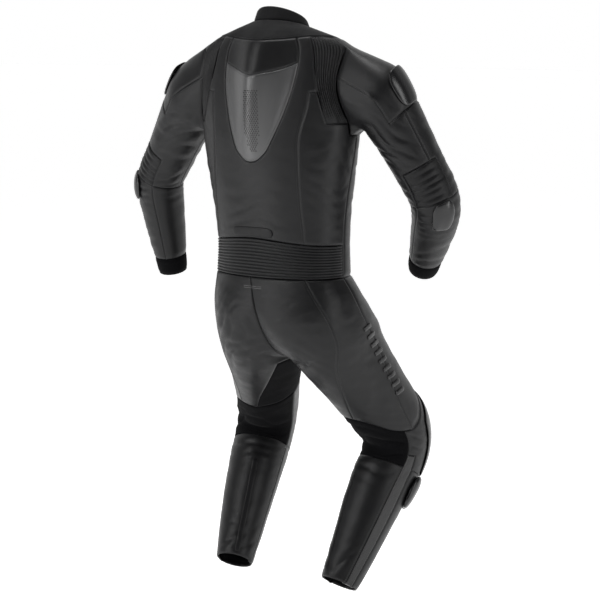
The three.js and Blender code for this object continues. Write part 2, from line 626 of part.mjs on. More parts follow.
// Every corner's outward direction, the same for all panels that meet there.
for (const cells of Object.values(panels)) {
  for (const { ids } of cells) {
    const [a, b, c, d] = ids.map((id) => corners[id].p);
    const normal = c.clone().sub(a).cross(d.clone().sub(b)).normalize();
    for (const id of ids) corners[id].n.add(normal);
  }
}
for (const { n } of corners) n.normalize();

// Where the cloth turns sharply its wall is thinner, so the walls on both sides keep clear of each other.
for (const cells of Object.values(panels)) {
  for (const { ids } of cells) {
    const [a, b, c, d] = ids.map((id) => corners[id].p);
    const normal = c.clone().sub(a).cross(d.clone().sub(b)).normalize();
    for (const id of ids) {
      const facing = THREE.MathUtils.smoothstep(normal.dot(corners[id].n), 0.45, 0.95);
      corners[id].thickness = Math.min(corners[id].thickness ?? 1, mix(0.42, 1, facing));
    }
  }
}

// A closed body, put together from triangles whose corners are merged where they meet.
function makeBody(name, material, triangles) {
  const positions = [];
  const index = [];
  const known = new Map();
  for (const triangle of triangles) {
    const ids = triangle.map((p) => {
      const key = [p.x, p.y, p.z].map((value) => Math.round(value * 2000)).join();
      if (!known.has(key)) {
        known.set(key, positions.length / 3);
        positions.push(p.x, p.y, p.z);
      }
      return known.get(key);
    });
    if (ids[0] !== ids[1] && ids[1] !== ids[2] && ids[2] !== ids[0]) index.push(...ids);
  }
  const geometry = new THREE.BufferGeometry();
  geometry.setAttribute('position', new THREE.Float32BufferAttribute(positions, 3));
  geometry.setIndex(index);
  geometry.computeVertexNormals();
  const mesh = new THREE.Mesh(geometry, new THREE.MeshStandardMaterial(material));
  mesh.name = name;
  return mesh;
}

// Edges that belong to one cell only, with the way in from each of them.
function openEdges(cells) {
  const edges = new Map();
  for (const cell of cells) {
    cell.ids.forEach((from, k) => {
      const to = cell.ids[(k + 1) % cell.ids.length];
      if (edges.has(`${to},${from}`)) edges.delete(`${to},${from}`);
      else edges.set(`${from},${to}`, { from, to });
    });
  }
  return edges;
}

// How far each corner on the open edges is moved in along the cloth.
function insets(edges, gap) {
  const ways = new Map();
  for (const { from, to } of edges.values()) {
    const run = corners[to].p.clone().sub(corners[from].p);
    for (const id of [from, to]) {
      if (!ways.has(id)) ways.set(id, []);
      ways.get(id).push(corners[id].n.clone().cross(run).normalize());
    }
  }
  const moves = new Map();
  for (const [id, list] of ways) {
    const sum = list.reduce((total, way) => total.add(way), point(0, 0, 0));
    const spread = Math.max(sum.dot(list[0]), 0.35);
    const sharp = corners[id].thickness < 0.85 ? SHARP_GAP : 1;
    moves.set(id, sum.multiplyScalar((sharp * gap) / spread));
  }
  return moves;
}

// A sheet over some cells, from height `low` to height `high` above the cloth's outer face. Its middle is
// `crown` higher than its edge, and its ribs stand out by `rib`.
function sheet(cells, { low, high, crown = 0, gap = SEAM_GAP / 2, rib = 0 }) {
  const edges = openEdges(cells);
  const moves = insets(edges, gap);
  const at = (id, height) => {
    const { p, n, thickness } = corners[id];
    const place = p.clone().addScaledVector(n, height < 0 ? height * thickness : height);
    return moves.has(id) ? place.add(moves.get(id)) : place;
  };
  const top = (id) => at(id, high + (moves.has(id) ? 0 : crown));
  const triangles = [];
  const ribPoints = (from, to, count, flat) => {
    const [ends, normals] = [[top(from), top(to)], [corners[from].n, corners[to].n]];
    const points = [];
    for (let k = 0; k <= 2 * count; k += 1) {
      const t = k / (2 * count);
      const p = ends[0].clone().lerp(ends[1], t);
      if (k % 2 === 1 && !flat) p.addScaledVector(normals[0].clone().lerp(normals[1], t).normalize(), rib);
      points.push(p);
    }
    return points;
  };
  const isOpen = (from, to) => edges.has(`${from},${to}`) || edges.has(`${to},${from}`);
  for (const { ids, ribs } of cells) {
    if (ribs && rib) {
      const [a, b, c, d] = ids;
      const first = ribPoints(a, d, ribs, isOpen(a, d));
      const second = ribPoints(b, c, ribs, isOpen(b, c));
      for (let k = 0; k < 2 * ribs; k += 1) {
        triangles.push([first[k], second[k], second[k + 1]], [first[k], second[k + 1], first[k + 1]]);
      }
      for (const [from, to, line] of [[b, c, second], [d, a, [...first].reverse()]]) {
        if (!edges.has(`${from},${to}`)) continue;
        for (let k = 0; k < 2 * ribs; k += 1) triangles.push([line[k + 1], line[k], at(from, low)]);
      }
      for (const [from, to] of [[a, b], [c, d]]) {
        if (edges.has(`${from},${to}`)) triangles.push([top(to), top(from), at(from, low)]);
      }
    } else {
      for (let k = 2; k < ids.length; k += 1) triangles.push([top(ids[0]), top(ids[k - 1]), top(ids[k])]);
      ids.forEach((from, k) => {
        const to = ids[(k + 1) % ids.length];
        if (edges.has(`${from},${to}`)) triangles.push([top(to), top(from), at(from, low)]);
      });
    }
    for (let k = 2; k < ids.length; k += 1) {
      triangles.push([at(ids[0], low), at(ids[k], low), at(ids[k - 1], low)]);
    }
  }
  for (const { from, to } of edges.values()) triangles.push([top(to), at(from, low), at(to, low)]);
  return triangles;
}

const suit = new THREE.Group();
suit.name = 'race_suit';

for (const [name, cells] of Object.entries(panels)) {
  const ribbed = RIBBED_PANELS.some((start) => name.startsWith(start));
  const stretch = STRETCH_PANELS.some((start) => name.startsWith(start));
  const material = ribbed ? RIBBED : stretch ? STRETCH : LEATHER;
  const gap = /^shoulder_(left|right)$/.test(name) ? 0.4 : SEAM_GAP / 2;
  const triangles = sheet(cells, { low: -WALL, high: 0, gap, rib: ribbed ? RIB_HEIGHT : 0 });
  suit.add(makeBody(name, material, triangles));
}

// Cells for a plate that lies on the cloth: each cell of a grid from row i0 to i1 and line j0 to j1, parted
// again in `parts` both ways. The plate's four outermost corners are cut off.
function plateCells(grid, middleOf, [i0, i1, j0, j1], parts, cutEnds = true) {
  const cells = [];
  for (let i = i0; i < i1; i += 1) {
    for (let j = j0; j < j1; j += 1) {
      const wrap = (k) => k % (grid[i].length - 1);
      const quad = [grid[i][wrap(j)], grid[i][wrap(j) + 1], grid[i + 1][wrap(j) + 1], grid[i + 1][wrap(j)]];
      const normal = quad[2].clone().sub(quad[0]).cross(quad[3].clone().sub(quad[1]));
      const outward = normal.dot(quad[0].clone().sub(middleOf(i, quad))) > 0;
      const ends = (outward ? quad : [quad[1], quad[0], quad[3], quad[2]]).map(corner);
      const inside = (u, v) => {
        const [a, b, c, d] = ends.map((id) => corners[id]);
        const weights = u >= v ? [1 - u, u - v, v, 0] : [1 - v, 0, u, v - u];
        const [p, n] = [point(0, 0, 0), point(0, 0, 0)];
        [a, b, c, d].forEach((end, k) => {
          p.addScaledVector(end.p, weights[k]);
          n.addScaledVector(end.n, weights[k]);
        });
        const id = corner(p);
        corners[id].n.copy(n.normalize());
        return id;
      };
      for (let u = 0; u < parts; u += 1) {
        for (let v = 0; v < parts; v += 1) {
          const box = [[u, v], [u + 1, v], [u + 1, v + 1], [u, v + 1]];
          const ids = box.map(([a, b]) => inside(a / parts, b / parts));
          const [row, column] = [(i - i0) * parts + v, (j - j0) * parts + (outward ? u : parts - 1 - u)];
          const last = [i1 - i0, j1 - j0].map((count) => count * parts - 1);
          const isEnd = [row, column].every((k, side) => k === 0 || k === last[side]);
          if (cutEnds && isEnd) {
            const [lowEnd, startEnd] = [row === 0, column === 0];
            const cut = box.findIndex(([a, b]) => {
              const atStart = outward ? a === u : a === u + 1;
              return (b === v) === lowEnd && atStart === startEnd;
            });
            ids.splice(cut, 1);
          }
          cells.push({ ids, ribs: 0 });
        }
      }
    }
  }
  return cells;
}

for (const side of ['left', 'right']) {
  const legMiddle = (i) => limbPath(LEG_JOINTS[side], LEG_ROWS[i].at);
  const armMiddle = (i) => limbPath(ARM_JOINTS[side], SLEEVE_ROWS[Math.max(i - 1, 0)]);
  const kneeCup = [legRow('knee1'), legRow('kneeLow'), line('armFront'), line('belly')];
  const kneePuck = [legRow('kneeLow'), legRow('calf2'), line('sideFront'), line('breast')];
  const add = (name, look, cells, shape) => {
    suit.add(makeBody(`${name}_${side}`, look, sheet(cells, { ...PLATE, ...shape })));
  };
  add('knee_cup', HARD, plateCells(grids.leg[side], legMiddle, kneeCup, 1, false), { high: 4, crown: 2.5 });
  add('knee_slider', HARD, plateCells(grids.leg[side], legMiddle, kneePuck, 2), { high: 9, crown: 5 });
  const shoulderCup = plateCells(grids.sleeve[side], armMiddle, [1, 3, 17, 20], 2);
  add('shoulder_cup', HARD, shoulderCup, { high: 4, crown: 2.5 });
  const elbowSlider = plateCells(grids.sleeve[side], armMiddle, [9, 11, 19, 22], 2);
  add('elbow_slider', HARD, elbowSlider, { high: 5, crown: 4 });
}

const torsoMiddle = (i, quad) => point(0, 0, quad[0].z - 30);

// Both halves' cells of a band that crosses the middle of the back or of the front.
function bothHalves(rows, lines, parts) {
  const half = (side) => plateCells(grids.torso[side], torsoMiddle, [...rows, ...lines], parts, false);
  return ['left', 'right'].flatMap(half);
}

// A blank pad above the waist pleats.
const padRows = [torsoRow('beltTop'), torsoRow('padTop')];
const pad = bothHalves(padRows, [0, line('hump')], 1).map(({ ids }) => ({ ids, ribs: 0 }));
suit.add(makeBody('waist_pad', RIBBED, sheet(pad, { low: 0.35, high: 3, gap: 4 })));

// The front zip: a closed pair of tapes, a slider below the collar and its pull tab.
const zipTop = torsoRow('neck');
const tape = [];
for (const side of ['left', 'right']) {
  for (let i = 0; i < zipTop; i += 1) {
    const rows = grids.torso[side];
    const quad = [rows[i][MIDDLE - 1], rows[i][MIDDLE], rows[i + 1][MIDDLE], rows[i + 1][MIDDLE - 1]];
    const ids = (side === 'left' ? [quad[3], quad[2], quad[1], quad[0]] : quad).map(corner);
    tape.push({ ids, ribs: 0 });
  }
}
suit.add(makeBody('zip_tape', STRETCH, sheet(tape, { low: 0.35, high: 2, gap: 0.5 })));

// The slider's place: x across, y out from the chest, z up along it.
const SLIDER_ROW = torsoRow('yoke');

function chestFrame() {
  const [low, high] = [SLIDER_ROW - 1, SLIDER_ROW].map((i) => grids.torso.left[i][MIDDLE]);
  const up = high.clone().sub(low).normalize();
  const turn = rad(readTable(TORSO, 'z', low.z).turn);
  const across = point(Math.cos(turn), Math.sin(turn), 0);
  across.addScaledVector(up, -across.dot(up)).normalize();
  const out = across.clone().cross(up).normalize();
  const place = low.clone().lerp(high, 0.5).addScaledVector(out, 2.6);
  return new THREE.Matrix4().makeBasis(across, out.clone().negate(), up).setPosition(place);
}

// A flat shape in the plane of two local directions, pushed through its thickness.
function slab(outline, hole, depth) {
  const shape = new THREE.Shape(outline.map(([u, v]) => new THREE.Vector2(u, v)));
  shape.holes.push(new THREE.Path(hole.map(([u, v]) => new THREE.Vector2(u, v))));
  const geometry = new THREE.ExtrudeGeometry(shape, { depth, bevelEnabled: false, steps: 1 });
  return geometry.translate(0, 0, -depth / 2);
}

function solidFrom(name, material, geometry) {
  const bare = geometry.index ? geometry.toNonIndexed() : geometry;
  const { array } = bare.attributes.position;
  const triangles = [];
  for (let k = 0; k < array.length; k += 9) {
    triangles.push([0, 3, 6].map((step) => point(array[k + step], array[k + step + 1], array[k + step + 2])));
  }
  return makeBody(name, material, triangles);
}

const chest = chestFrame();
const arch = SLIDER.base + SLIDER.window.deep + SLIDER.wall;
const archHalf = SLIDER.window.tall / 2 + SLIDER.wall;
// Local directions of the slider's side view: out from the chest, then up along it.
const sliderSide = [[0, -SLIDER.height / 2], [SLIDER.base, -SLIDER.height / 2], [SLIDER.base, -archHalf],
  [arch, -archHalf], [arch, archHalf], [SLIDER.base, archHalf], [SLIDER.base, SLIDER.height / 2],
  [0, SLIDER.height / 2]];
const windowSide = [[SLIDER.base, -1], [SLIDER.base, 1], [SLIDER.base + SLIDER.window.deep, 1],
  [SLIDER.base + SLIDER.window.deep, -1]].map(([out, up]) => [out, (up * SLIDER.window.tall) / 2]);
const toChest = new THREE.Matrix4().makeBasis(point(0, -1, 0), point(0, 0, 1), point(-1, 0, 0));
const slider = slab(sliderSide, windowSide, SLIDER.width).applyMatrix4(toChest).applyMatrix4(chest);
suit.add(solidFrom('zip_slider', METAL, slider));

const pivotOut = SLIDER.base + SLIDER.window.deep / 2;
const half = PULL.width / 2;
const slotHalf = PULL.slot.wide / 2;
const pullOutline = [[-half, PULL.bar / 2],
  [-half, PULL.corner - PULL.length], [PULL.corner - half, -PULL.length],
  [half - PULL.corner, -PULL.length], [half, PULL.corner - PULL.length], [half, PULL.bar / 2]];
const pullSlot = [[-slotHalf, -PULL.bar / 2], [-slotHalf, -PULL.slot.end], [slotHalf, -PULL.slot.end],
  [slotHalf, -PULL.bar / 2]];
const pullToChest = new THREE.Matrix4().makeBasis(point(1, 0, 0), point(0, 0, 1), point(0, -1, 0));
pullToChest.setPosition(point(0, -pivotOut, 0));
const pull = slab(pullOutline, pullSlot, PULL.thick).applyMatrix4(pullToChest).applyMatrix4(chest);
suit.add(solidFrom('zip_pull', HARD, pull));

export default suit;
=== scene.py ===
"""The looks of the race suit: leather, stretch cloth, pleats, hard parts, stitching and the studio."""

import json
import math

import bmesh
import bpy
import numpy as np
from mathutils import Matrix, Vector, noise
from mathutils.bvhtree import BVHTree
from mathutils.kdtree import KDTree


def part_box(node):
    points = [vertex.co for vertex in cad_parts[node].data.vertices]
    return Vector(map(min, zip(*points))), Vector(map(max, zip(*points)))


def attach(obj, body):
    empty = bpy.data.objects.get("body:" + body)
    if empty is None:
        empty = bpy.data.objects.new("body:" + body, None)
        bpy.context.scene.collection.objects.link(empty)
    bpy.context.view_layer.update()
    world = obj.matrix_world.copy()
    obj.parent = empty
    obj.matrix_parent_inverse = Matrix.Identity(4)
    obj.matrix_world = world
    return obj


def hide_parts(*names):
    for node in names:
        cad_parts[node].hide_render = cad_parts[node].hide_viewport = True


bl_info = {
    "name": "Race suit",
    "version": (1, 0, 0),
    "blender": (4, 5, 0),
    "location": "View3D > Sidebar > Race suit",
    "description": "Builds the looks of a one-piece leather race suit around its packed model",
    "category": "Object",
}

MM = 0.001

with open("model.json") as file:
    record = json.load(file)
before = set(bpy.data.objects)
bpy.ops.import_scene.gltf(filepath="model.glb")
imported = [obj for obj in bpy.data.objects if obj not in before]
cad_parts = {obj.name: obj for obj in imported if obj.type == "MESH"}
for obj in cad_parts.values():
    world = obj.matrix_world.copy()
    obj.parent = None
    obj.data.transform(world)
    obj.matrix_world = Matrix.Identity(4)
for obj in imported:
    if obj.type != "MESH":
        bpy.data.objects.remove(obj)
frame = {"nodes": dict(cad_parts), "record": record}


def metres(label, text, value):
    """A length among the settings, in metres."""
    return bpy.props.FloatProperty(
        name=label, description=text, default=value, min=0.0, precision=5, unit="LENGTH")


def shade(label, text, value):
    """A colour among the settings."""
    return bpy.props.FloatVectorProperty(
        name=label, description=text, default=value, min=0.0, max=1.0, size=3, subtype="COLOR")


class ClothSettings(bpy.types.PropertyGroup):
    """Sizes and colours of the sewn pieces."""

    wall: metres("Wall", "Thickness of leather and lining", 2.0 * MM)
    seam_depth: metres("Seam depth", "How far a panel's edge sinks into its seam", 1.5 * MM)
    seam_width: metres("Seam width", "How far in from its edge a panel starts to sink", 5.0 * MM)
    seam_reach: metres("Seam reach", "Widest seam that is drawn together", 16.0 * MM)
    seam_gap: metres("Seam gap", "Groove left between two panels", 1.0 * MM)
    valley_depth: metres("Valley depth", "Extra depth of the lines between two pleats", 1.6 * MM)
    allowance: metres("Seam allowance", "Cloth folded under along a seam", 3.0 * MM)
    allowance_drop: metres("Allowance drop", "Depth of the folded cloth's edge under the seam", 3.2 * MM)
    leather: shade("Leather", "Plain leather panels", (0.0055, 0.0055, 0.006))
    # The hump's colour, about seven times lighter than the other leather, is a painted sheen.
    hump: shade("Hump", "Leather of the hump's shell", (0.040, 0.040, 0.041))
    pleats: shade("Pleats", "Pleated leather, yoke and collar", (0.004, 0.004, 0.0045))
    stretch: shade("Stretch cloth", "Matt stretch panels", (0.003, 0.003, 0.0035))
    hard: shade("Hard parts", "Cups, sliders and pull tab", (0.004, 0.004, 0.0045))
    thread: shade("Thread", "Stitches along the seams", (0.02, 0.02, 0.021))
    tack: shade("Tack", "Thread of the short bar below the waist", (0.10, 0.10, 0.10))
    metal: shade("Metal", "Zip slider and teeth", (0.45, 0.45, 0.46))


class TrimSettings(bpy.types.PropertyGroup):
    """Sizes of the stitches, holes and teeth."""

    stitch_pitch: metres("Stitch pitch", "From one stitch to the next", 4.6 * MM)
    stitch_length: metres("Stitch length", "Length of one stitch", 3.2 * MM)
    stitch_radius: metres("Stitch radius", "Half the thread's thickness", 0.42 * MM)
    stitch_inset: metres("Stitch inset", "From a panel's edge to its stitches", 4.2 * MM)
    hole_radius: metres("Hole radius", "Half the width of a perforation", 1.4 * MM)
    hole_pitch: metres("Hole pitch", "From one perforation to the next", 5.2 * MM)
    tooth_pitch: metres("Tooth pitch", "From one zip tooth to the next", 3.2 * MM)


class StageSettings(bpy.types.PropertyGroup):
    """Camera of the studio."""

    azimuth: bpy.props.FloatProperty(
        name="Azimuth", description="Camera's way round the suit, from its front", default=math.radians(212),
        subtype="ANGLE")
    elevation: bpy.props.FloatProperty(
        name="Elevation", description="Camera's height over the horizon", default=math.radians(8), subtype="ANGLE")
    distance: metres("Distance", "From the camera to the target", 4.5)
    width: metres("Width seen", "Width of the picture at the target", 1.416)
    target: bpy.props.FloatVectorProperty(
        name="Target", description="Point that the camera looks at", default=(-0.022, -0.040, -0.622),
        subtype="TRANSLATION", unit="LENGTH")


# Middle lines of the hollows, through the record's openings, and the shoulder's middle on the left.
TORSO_LINE = ["neck", "chest", "belly", "hips"]
ARM_LINE = ["upper_arm", "elbow", "forearm", "cuff"]
LEG_LINE = ["thigh", "knee", "shin", "hem"]
SHOULDER = Vector((0.240, -0.005, -0.145))
ARM_NODES = ("sleeve", "forearm", "elbow", "cuff", "shoulder_left", "shoulder_right", "shoulder_cup")
LEG_NODES = ("thigh", "seat", "inner_stretch", "knee", "calf", "shin")

# How each group of nodes is made. level: times its quads are parted; folds: height of its loose folds, if any.
GROUPS = [
    {"start": "collar", "look": "matt", "level": 3, "folds": 0.6 * MM},
    {"start": "yoke", "look": "matt", "level": 3, "folds": 0.6 * MM},
    {"start": "hump_shell", "look": "hump", "level": 3},
    {"start": "hump_cap", "look": "leather", "level": 3, "folds": 0.2 * MM},
    {"start": "back_panel", "look": "leather", "level": 3, "folds": 0.9 * MM},
    {"start": "side_back", "look": "leather", "level": 3, "folds": 1.2 * MM},
    {"start": "front", "look": "leather", "level": 2, "folds": 0.9 * MM},
    {"start": "waist_pleats", "look": "pleats", "level": 2},
    {"start": "shoulder_pleats", "look": "pleats", "level": 2},
    {"start": "elbow_pleats", "look": "pleats", "level": 2},
    {"start": "shoulder_cup", "look": "hard", "level": 2},
    {"start": "shoulder", "look": "leather", "level": 3, "folds": 0.8 * MM},
    {"start": "sleeve_back", "look": "leather", "level": 3, "folds": 1.6 * MM},
    {"start": "sleeve_front", "look": "leather", "level": 2, "folds": 1.6 * MM},
    {"start": "sleeve_outer", "look": "leather", "level": 3, "folds": 1.4 * MM},
    {"start": "forearm_outer", "look": "leather", "level": 3, "folds": 1.2 * MM},
    {"start": "forearm_inner", "look": "leather", "level": 2, "folds": 1.2 * MM},
    {"start": "cuff", "look": "stretch", "level": 2, "folds": 0.3 * MM},
    {"start": "elbow_slider", "look": "hard", "level": 2},
    {"start": "seat", "look": "leather", "level": 3, "folds": 1.5 * MM},
    {"start": "thigh_outer", "look": "leather", "level": 3, "folds": 1.3 * MM},
    {"start": "thigh_front", "look": "leather", "level": 2, "folds": 1.3 * MM},
    {"start": "inner_stretch", "look": "stretch", "level": 3, "folds": 1.6 * MM},
    {"start": "knee_back", "look": "stretch", "level": 3, "folds": 2.2 * MM},
    {"start": "knee_front", "look": "leather", "level": 3, "folds": 0.8 * MM},
    {"start": "knee_cup", "look": "hard", "level": 2},
    {"start": "knee_slider", "look": "hard", "level": 2},
    {"start": "calf_back", "look": "leather", "level": 3, "folds": 1.0 * MM},
    {"start": "calf_strip", "look": "gloss", "level": 3, "folds": 0.2 * MM},
    {"start": "shin_front", "look": "leather", "level": 2, "folds": 0.8 * MM},
    {"start": "waist_pad", "look": "pleats", "level": 2},
    {"start": "zip_tape", "look": "stretch", "level": 1},
    {"start": "zip_slider", "look": "metal", "level": 0},
    {"start": "zip_pull", "look": "hard", "level": 0},
]
SOLID_LOOKS = ("hard", "metal")
SOLID_NODES = ("waist_pad", "zip_tape")

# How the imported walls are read.
MERGE_DISTANCE = 0.002 * MM
QUAD_ANGLE = math.radians(40)    # two triangles that meet flatter than this become a quad
RIM_EDGE = 3.4 * MM              # a face with a shorter edge joins the wall's two layers
SHARP_TURN = math.radians(38)    # a panel's outline has a corner where it turns by more
VALLEY_TURN = math.radians(14)   # and a pleated panel a valley
VALLEY_CREASE = 0.85

# Where the bent or twisted suit throws folds. at: middle in metres; across: the way over the folds;
# pitch: from fold to fold; height: depth of the folds; reach: how far they fade out.
FOLDS = [
    {"at": (0.185, -0.15, -0.96), "across": (0.1, -0.3, 1.0), "pitch": 0.024, "height": 0.004, "reach": 0.075},
    {"at": (-0.17, -0.16, -0.975), "across": (-0.1, -0.2, 1.0), "pitch": 0.026, "height": 0.0042, "reach": 0.08},
    {"at": (0.03, 0.06, -0.69), "across": (0.35, 0.0, 1.0), "pitch": 0.027, "height": 0.0035, "reach": 0.075},
    {"at": (0.11, 0.08, -0.72), "across": (0.8, 0.0, 0.6), "pitch": 0.03, "height": 0.003, "reach": 0.08},
    {"at": (-0.08, 0.04, -0.73), "across": (-0.6, 0.0, 0.8), "pitch": 0.032, "height": 0.0022, "reach": 0.08},
    {"at": (0.385, -0.03, -0.35), "across": (0.1, 0.2, 1.0), "pitch": 0.022, "height": 0.0034, "reach": 0.07},
    {"at": (-0.35, -0.05, -0.37), "across": (-0.1, 0.3, 1.0), "pitch": 0.022, "height": 0.0034, "reach": 0.07},
    {"at": (0.262, 0.02, -0.235), "across": (0.5, 0.0, 0.9), "pitch": 0.026, "height": 0.0036, "reach": 0.065},
    {"at": (-0.285, 0.01, -0.235), "across": (-0.5, 0.0, 0.9), "pitch": 0.026, "height": 0.0034, "reach": 0.065},
    {"at": (0.14, -0.01, -1.235), "across": (0.0, 0.3, 1.0), "pitch": 0.026, "height": 0.0022, "reach": 0.06},
    {"at": (-0.135, -0.05, -1.25), "across": (0.0, 0.3, 1.0), "pitch": 0.026, "height": 0.0022, "reach": 0.06},
    {"at": (0.02, 0.11, -0.43), "across": (0.1, 0.0, 1.0), "pitch": 0.036, "height": 0.0016, "reach": 0.09},
    {"at": (0.165, -0.02, -0.33), "across": (0.5, 0.0, 1.0), "pitch": 0.034, "height": 0.0024, "reach": 0.09},
    {"at": (-0.17, 0.0, -0.33), "across": (-0.5, 0.0, 1.0), "pitch": 0.034, "height": 0.0022, "reach": 0.09},
    {"at": (0.41, -0.11, -0.5), "across": (0.2, 0.3, 1.0), "pitch": 0.028, "height": 0.0024, "reach": 0.06},
    {"at": (-0.3, -0.16, -0.49), "across": (0.2, 0.3, 1.0), "pitch": 0.028, "height": 0.0024, "reach": 0.06},
]
FOLD_DEPTH = 1.5                 # times the heights in the table
FOLD_BEND = 1.1                  # how far noise bends them, in folds
FOLD_BEND_SCALE = 11.0
FOLD_ROUND = 0.7                 # below 1, the ridges are rounder and the creases sharper
FOLD_MIDDLE = 0.6                # taken off, so that folds go in as well as out
FOLD_FADE = 14 * MM              # over this way in from a seam they grow to their full height

# Loose folds everywhere else: noise at two sizes.
LOOSE_SQUEEZE = 1.6              # how much shorter the folds are along the limb than round it
LOOSE_WIDE = 16.0
LOOSE_FINE = 42.0
LOOSE_FINE_SHARE = 0.35
LOOSE_FINE_SHIFT = Vector((3.1, 7.7, 1.3))
LOOSE_FADE = 25 * MM

# The leather looks, by the settings' colour that each one has, and the plain ones.
LEATHERS = {
    "leather": {"colour": "leather", "roughness": 0.38, "specular": 0.27},
    "matt": {"colour": "pleats", "roughness": 0.65, "specular": 0.16},
    # The hump's light colour is a painted sheen.
    "hump": {"colour": "hump", "roughness": 0.30, "specular": 0.80},
    "gloss": {"colour": "leather", "roughness": 0.22, "specular": 0.50},
    "pleats": {"colour": "pleats", "roughness": 0.42, "specular": 0.24},
}
PLAIN_LOOKS = {
    "hard": {"colour": "hard", "roughness": 0.26, "metallic": 0.0},
    "metal": {"colour": "metal", "roughness": 0.3, "metallic": 1.0},
    "thread": {"colour": "thread", "roughness": 0.6, "metallic": 0.0},
    "tack": {"colour": "tack", "roughness": 0.5, "metallic": 0.0},
}
# The perforations' colour: a painted shade of the holes' insides.
HOLE_SHADE = (0.0, 0.0, 0.0)
GRAIN_SCALE = 900.0
CREASE_SCALE = 90.0
SHEEN_SCALE = 9.0
TONES = (0.75, 1.3)              # darkest and lightest leather, times its colour
SMOOTHER = 0.08                  # how far the creases move the roughness
ROUGHER = 0.12
LEATHER_BUMP = {"strength": 0.35, "distance": 0.35 * MM}
WEAVE_SCALE = 700.0
FUZZ_SCALE = 260.0
WOVEN_BUMP = {"strength": 0.5, "distance": 0.5 * MM}
WOVEN = {"roughness": 0.95, "specular": 0.06, "sheen": 0.02}

# Panels with a stitched line inside their seams.
STITCHED = {
    "back": ("hump_shell", "hump_cap", "back_panel", "yoke", "side_back_left", "side_back_right"),
    "seat": ("seat_left", "seat_right", "thigh_outer_left", "thigh_outer_right"),
    "sleeves": ("sleeve_back_left", "sleeve_back_right", "sleeve_outer_left", "sleeve_outer_right",
                "forearm_outer_left", "forearm_outer_right", "shoulder_left", "shoulder_right"),
    "lower_legs": ("calf_back_left", "calf_back_right", "calf_strip_left", "calf_strip_right",
                   "knee_front_left", "knee_front_right"),
}

# Rays that find the cloth start this far behind the suit's middle, or before it.
BEHIND = 0.5
BEFORE = -0.6
# The short stitched bar below the waist: x of its ends and the heights of its two rows, in metres.
TACK = {"left": 0.036, "right": -0.016, "rows": (-0.5735, -0.5775)}
TACK_STITCH = {"pitch": 2.6 * MM, "radius": 0.8 * MM, "length": 3.4 * MM, "lift": 0.6 * MM}
# The hump's perforated strip, which narrows to a round lower end.
STRIP_HALF = 17 * MM
STRIP_MIDDLE = -10 * MM
STRIP_TOP = -0.125
STRIP_LOW = -0.262
STRIP_END = 6 * MM
STRIP_TAPER = 45 * MM
ROW_STEP = 0.87                  # from row to row, times the holes' pitch
# The zip: bare tape below its teeth, and the height within which points of the tape are one row.
ZIP_END = 3 * MM
ZIP_ROW = 12 * MM
TOOTH = {"radius": 0.9 * MM, "length": 6 * MM, "sides": 5}
# The raised bars down each outer thigh: the ends of their middle line, in metres.
BARS = [
    {"side": "right", "top": (-0.210, -0.024, -0.660), "low": (-0.236, -0.156, -0.846)},
    {"side": "left", "top": (0.208, -0.020, -0.655), "low": (0.247, -0.152, -0.842)},
]
BAR_COUNT = 9
BAR = {"half_length": 17 * MM, "half_width": 6.0 * MM, "height": 2.6 * MM, "steps": 5}
BAR_SLANT = 0.35
BAR_FOOT = 0.8 * MM              # how far bars and flaps reach into the cloth
# The flap over the zip down the back of each calf: the ends of its middle line, in metres.
FLAPS = [
    {"side": "left", "top": (0.144, -0.101, -1.033), "low": (0.121, 0.019, -1.242)},
    {"side": "right", "top": (-0.128, -0.132, -1.045), "low": (-0.104, -0.012, -1.256)},
]
FLAP = {"half_length": 118 * MM, "half_width": 7.0 * MM, "height": 1.6 * MM, "steps": 21}
TRIM_LEVEL = 2                   # times that the quads of bars and flaps are parted

# The studio. Each light's place is given in metres towards the camera, up and to the camera's right.
LIGHTS = [
    {"name": "key", "place": (2.4, 1.7, -2.2), "power": 36, "size": (0.8, 2.2)},
    {"name": "fill", "place": (2.0, 0.5, 2.6), "power": 26, "size": (0.7, 2.4)},
    {"name": "top", "place": (0.4, 2.6, 0.0), "power": 30, "size": (1.2, 1.2)},
    {"name": "sheen", "place": (1.1, 0.25, -2.4), "power": 16, "size": (0.35, 2.0)},
]
SENSOR_WIDTH = 36.0              # in millimetres
FLOOR_GAP = 0.03
FLOOR_HALF = 60.0
PAPER = (0.95, 0.95, 0.95)
PAPER_GLOW = 0.65
BACK_LIGHT = 1.0                 # the studio is white behind the suit and dimmer before it
FRONT_LIGHT = 0.115
TURN_START = -0.2                # cosines of the angle from straight behind
TURN_END = 0.8                   # between which it brightens

# The finished outer face of each panel, to lay stitches, holes, bars and flaps on.
guides = {}


def group_of(node):
    """The group that a node belongs to."""
    return next(g for g in GROUPS if node.startswith(g["start"]))


def cloth():
    """The settings of the sewn pieces."""
    return bpy.context.scene.suit_cloth


def trim():
    """The settings of stitches, holes and teeth."""
    return bpy.context.scene.suit_trim


def opening_middles():
    """The middle of each hollow that the record states."""
    middles = {}
    for opening in frame["record"]["physics"]["openings"]:
        low, high = (Vector(corner) for corner in opening["box_m"])
        middles[opening["name"]] = (low + high) / 2
    return middles


def middle_line(node):
    """The middle line of the hollow inside a node: its cloth faces away from it."""
    middles = opening_middles()
    side = "_right" if node.endswith("_right") else "_left"
    if node.startswith(ARM_NODES):
        start = Vector((SHOULDER.x if side == "_left" else -SHOULDER.x, SHOULDER.y, SHOULDER.z))
        return [start] + [middles[name + side] for name in ARM_LINE]
    if node.startswith(LEG_NODES):
        return [middles["hips"]] + [middles[name + side] for name in LEG_LINE]
    return [middles[name] for name in TORSO_LINE]


def away_from(line, place):
    """The direction from the nearest point of a line to a place."""
    best = None
    for start, end in zip(line, line[1:]):
        run = end - start
        share = min(max((place - start).dot(run) / run.length_squared, 0), 1)
        way = place - (start + share * run)
        if best is None or way.length < best.length:
            best = way
    return best.normalized()


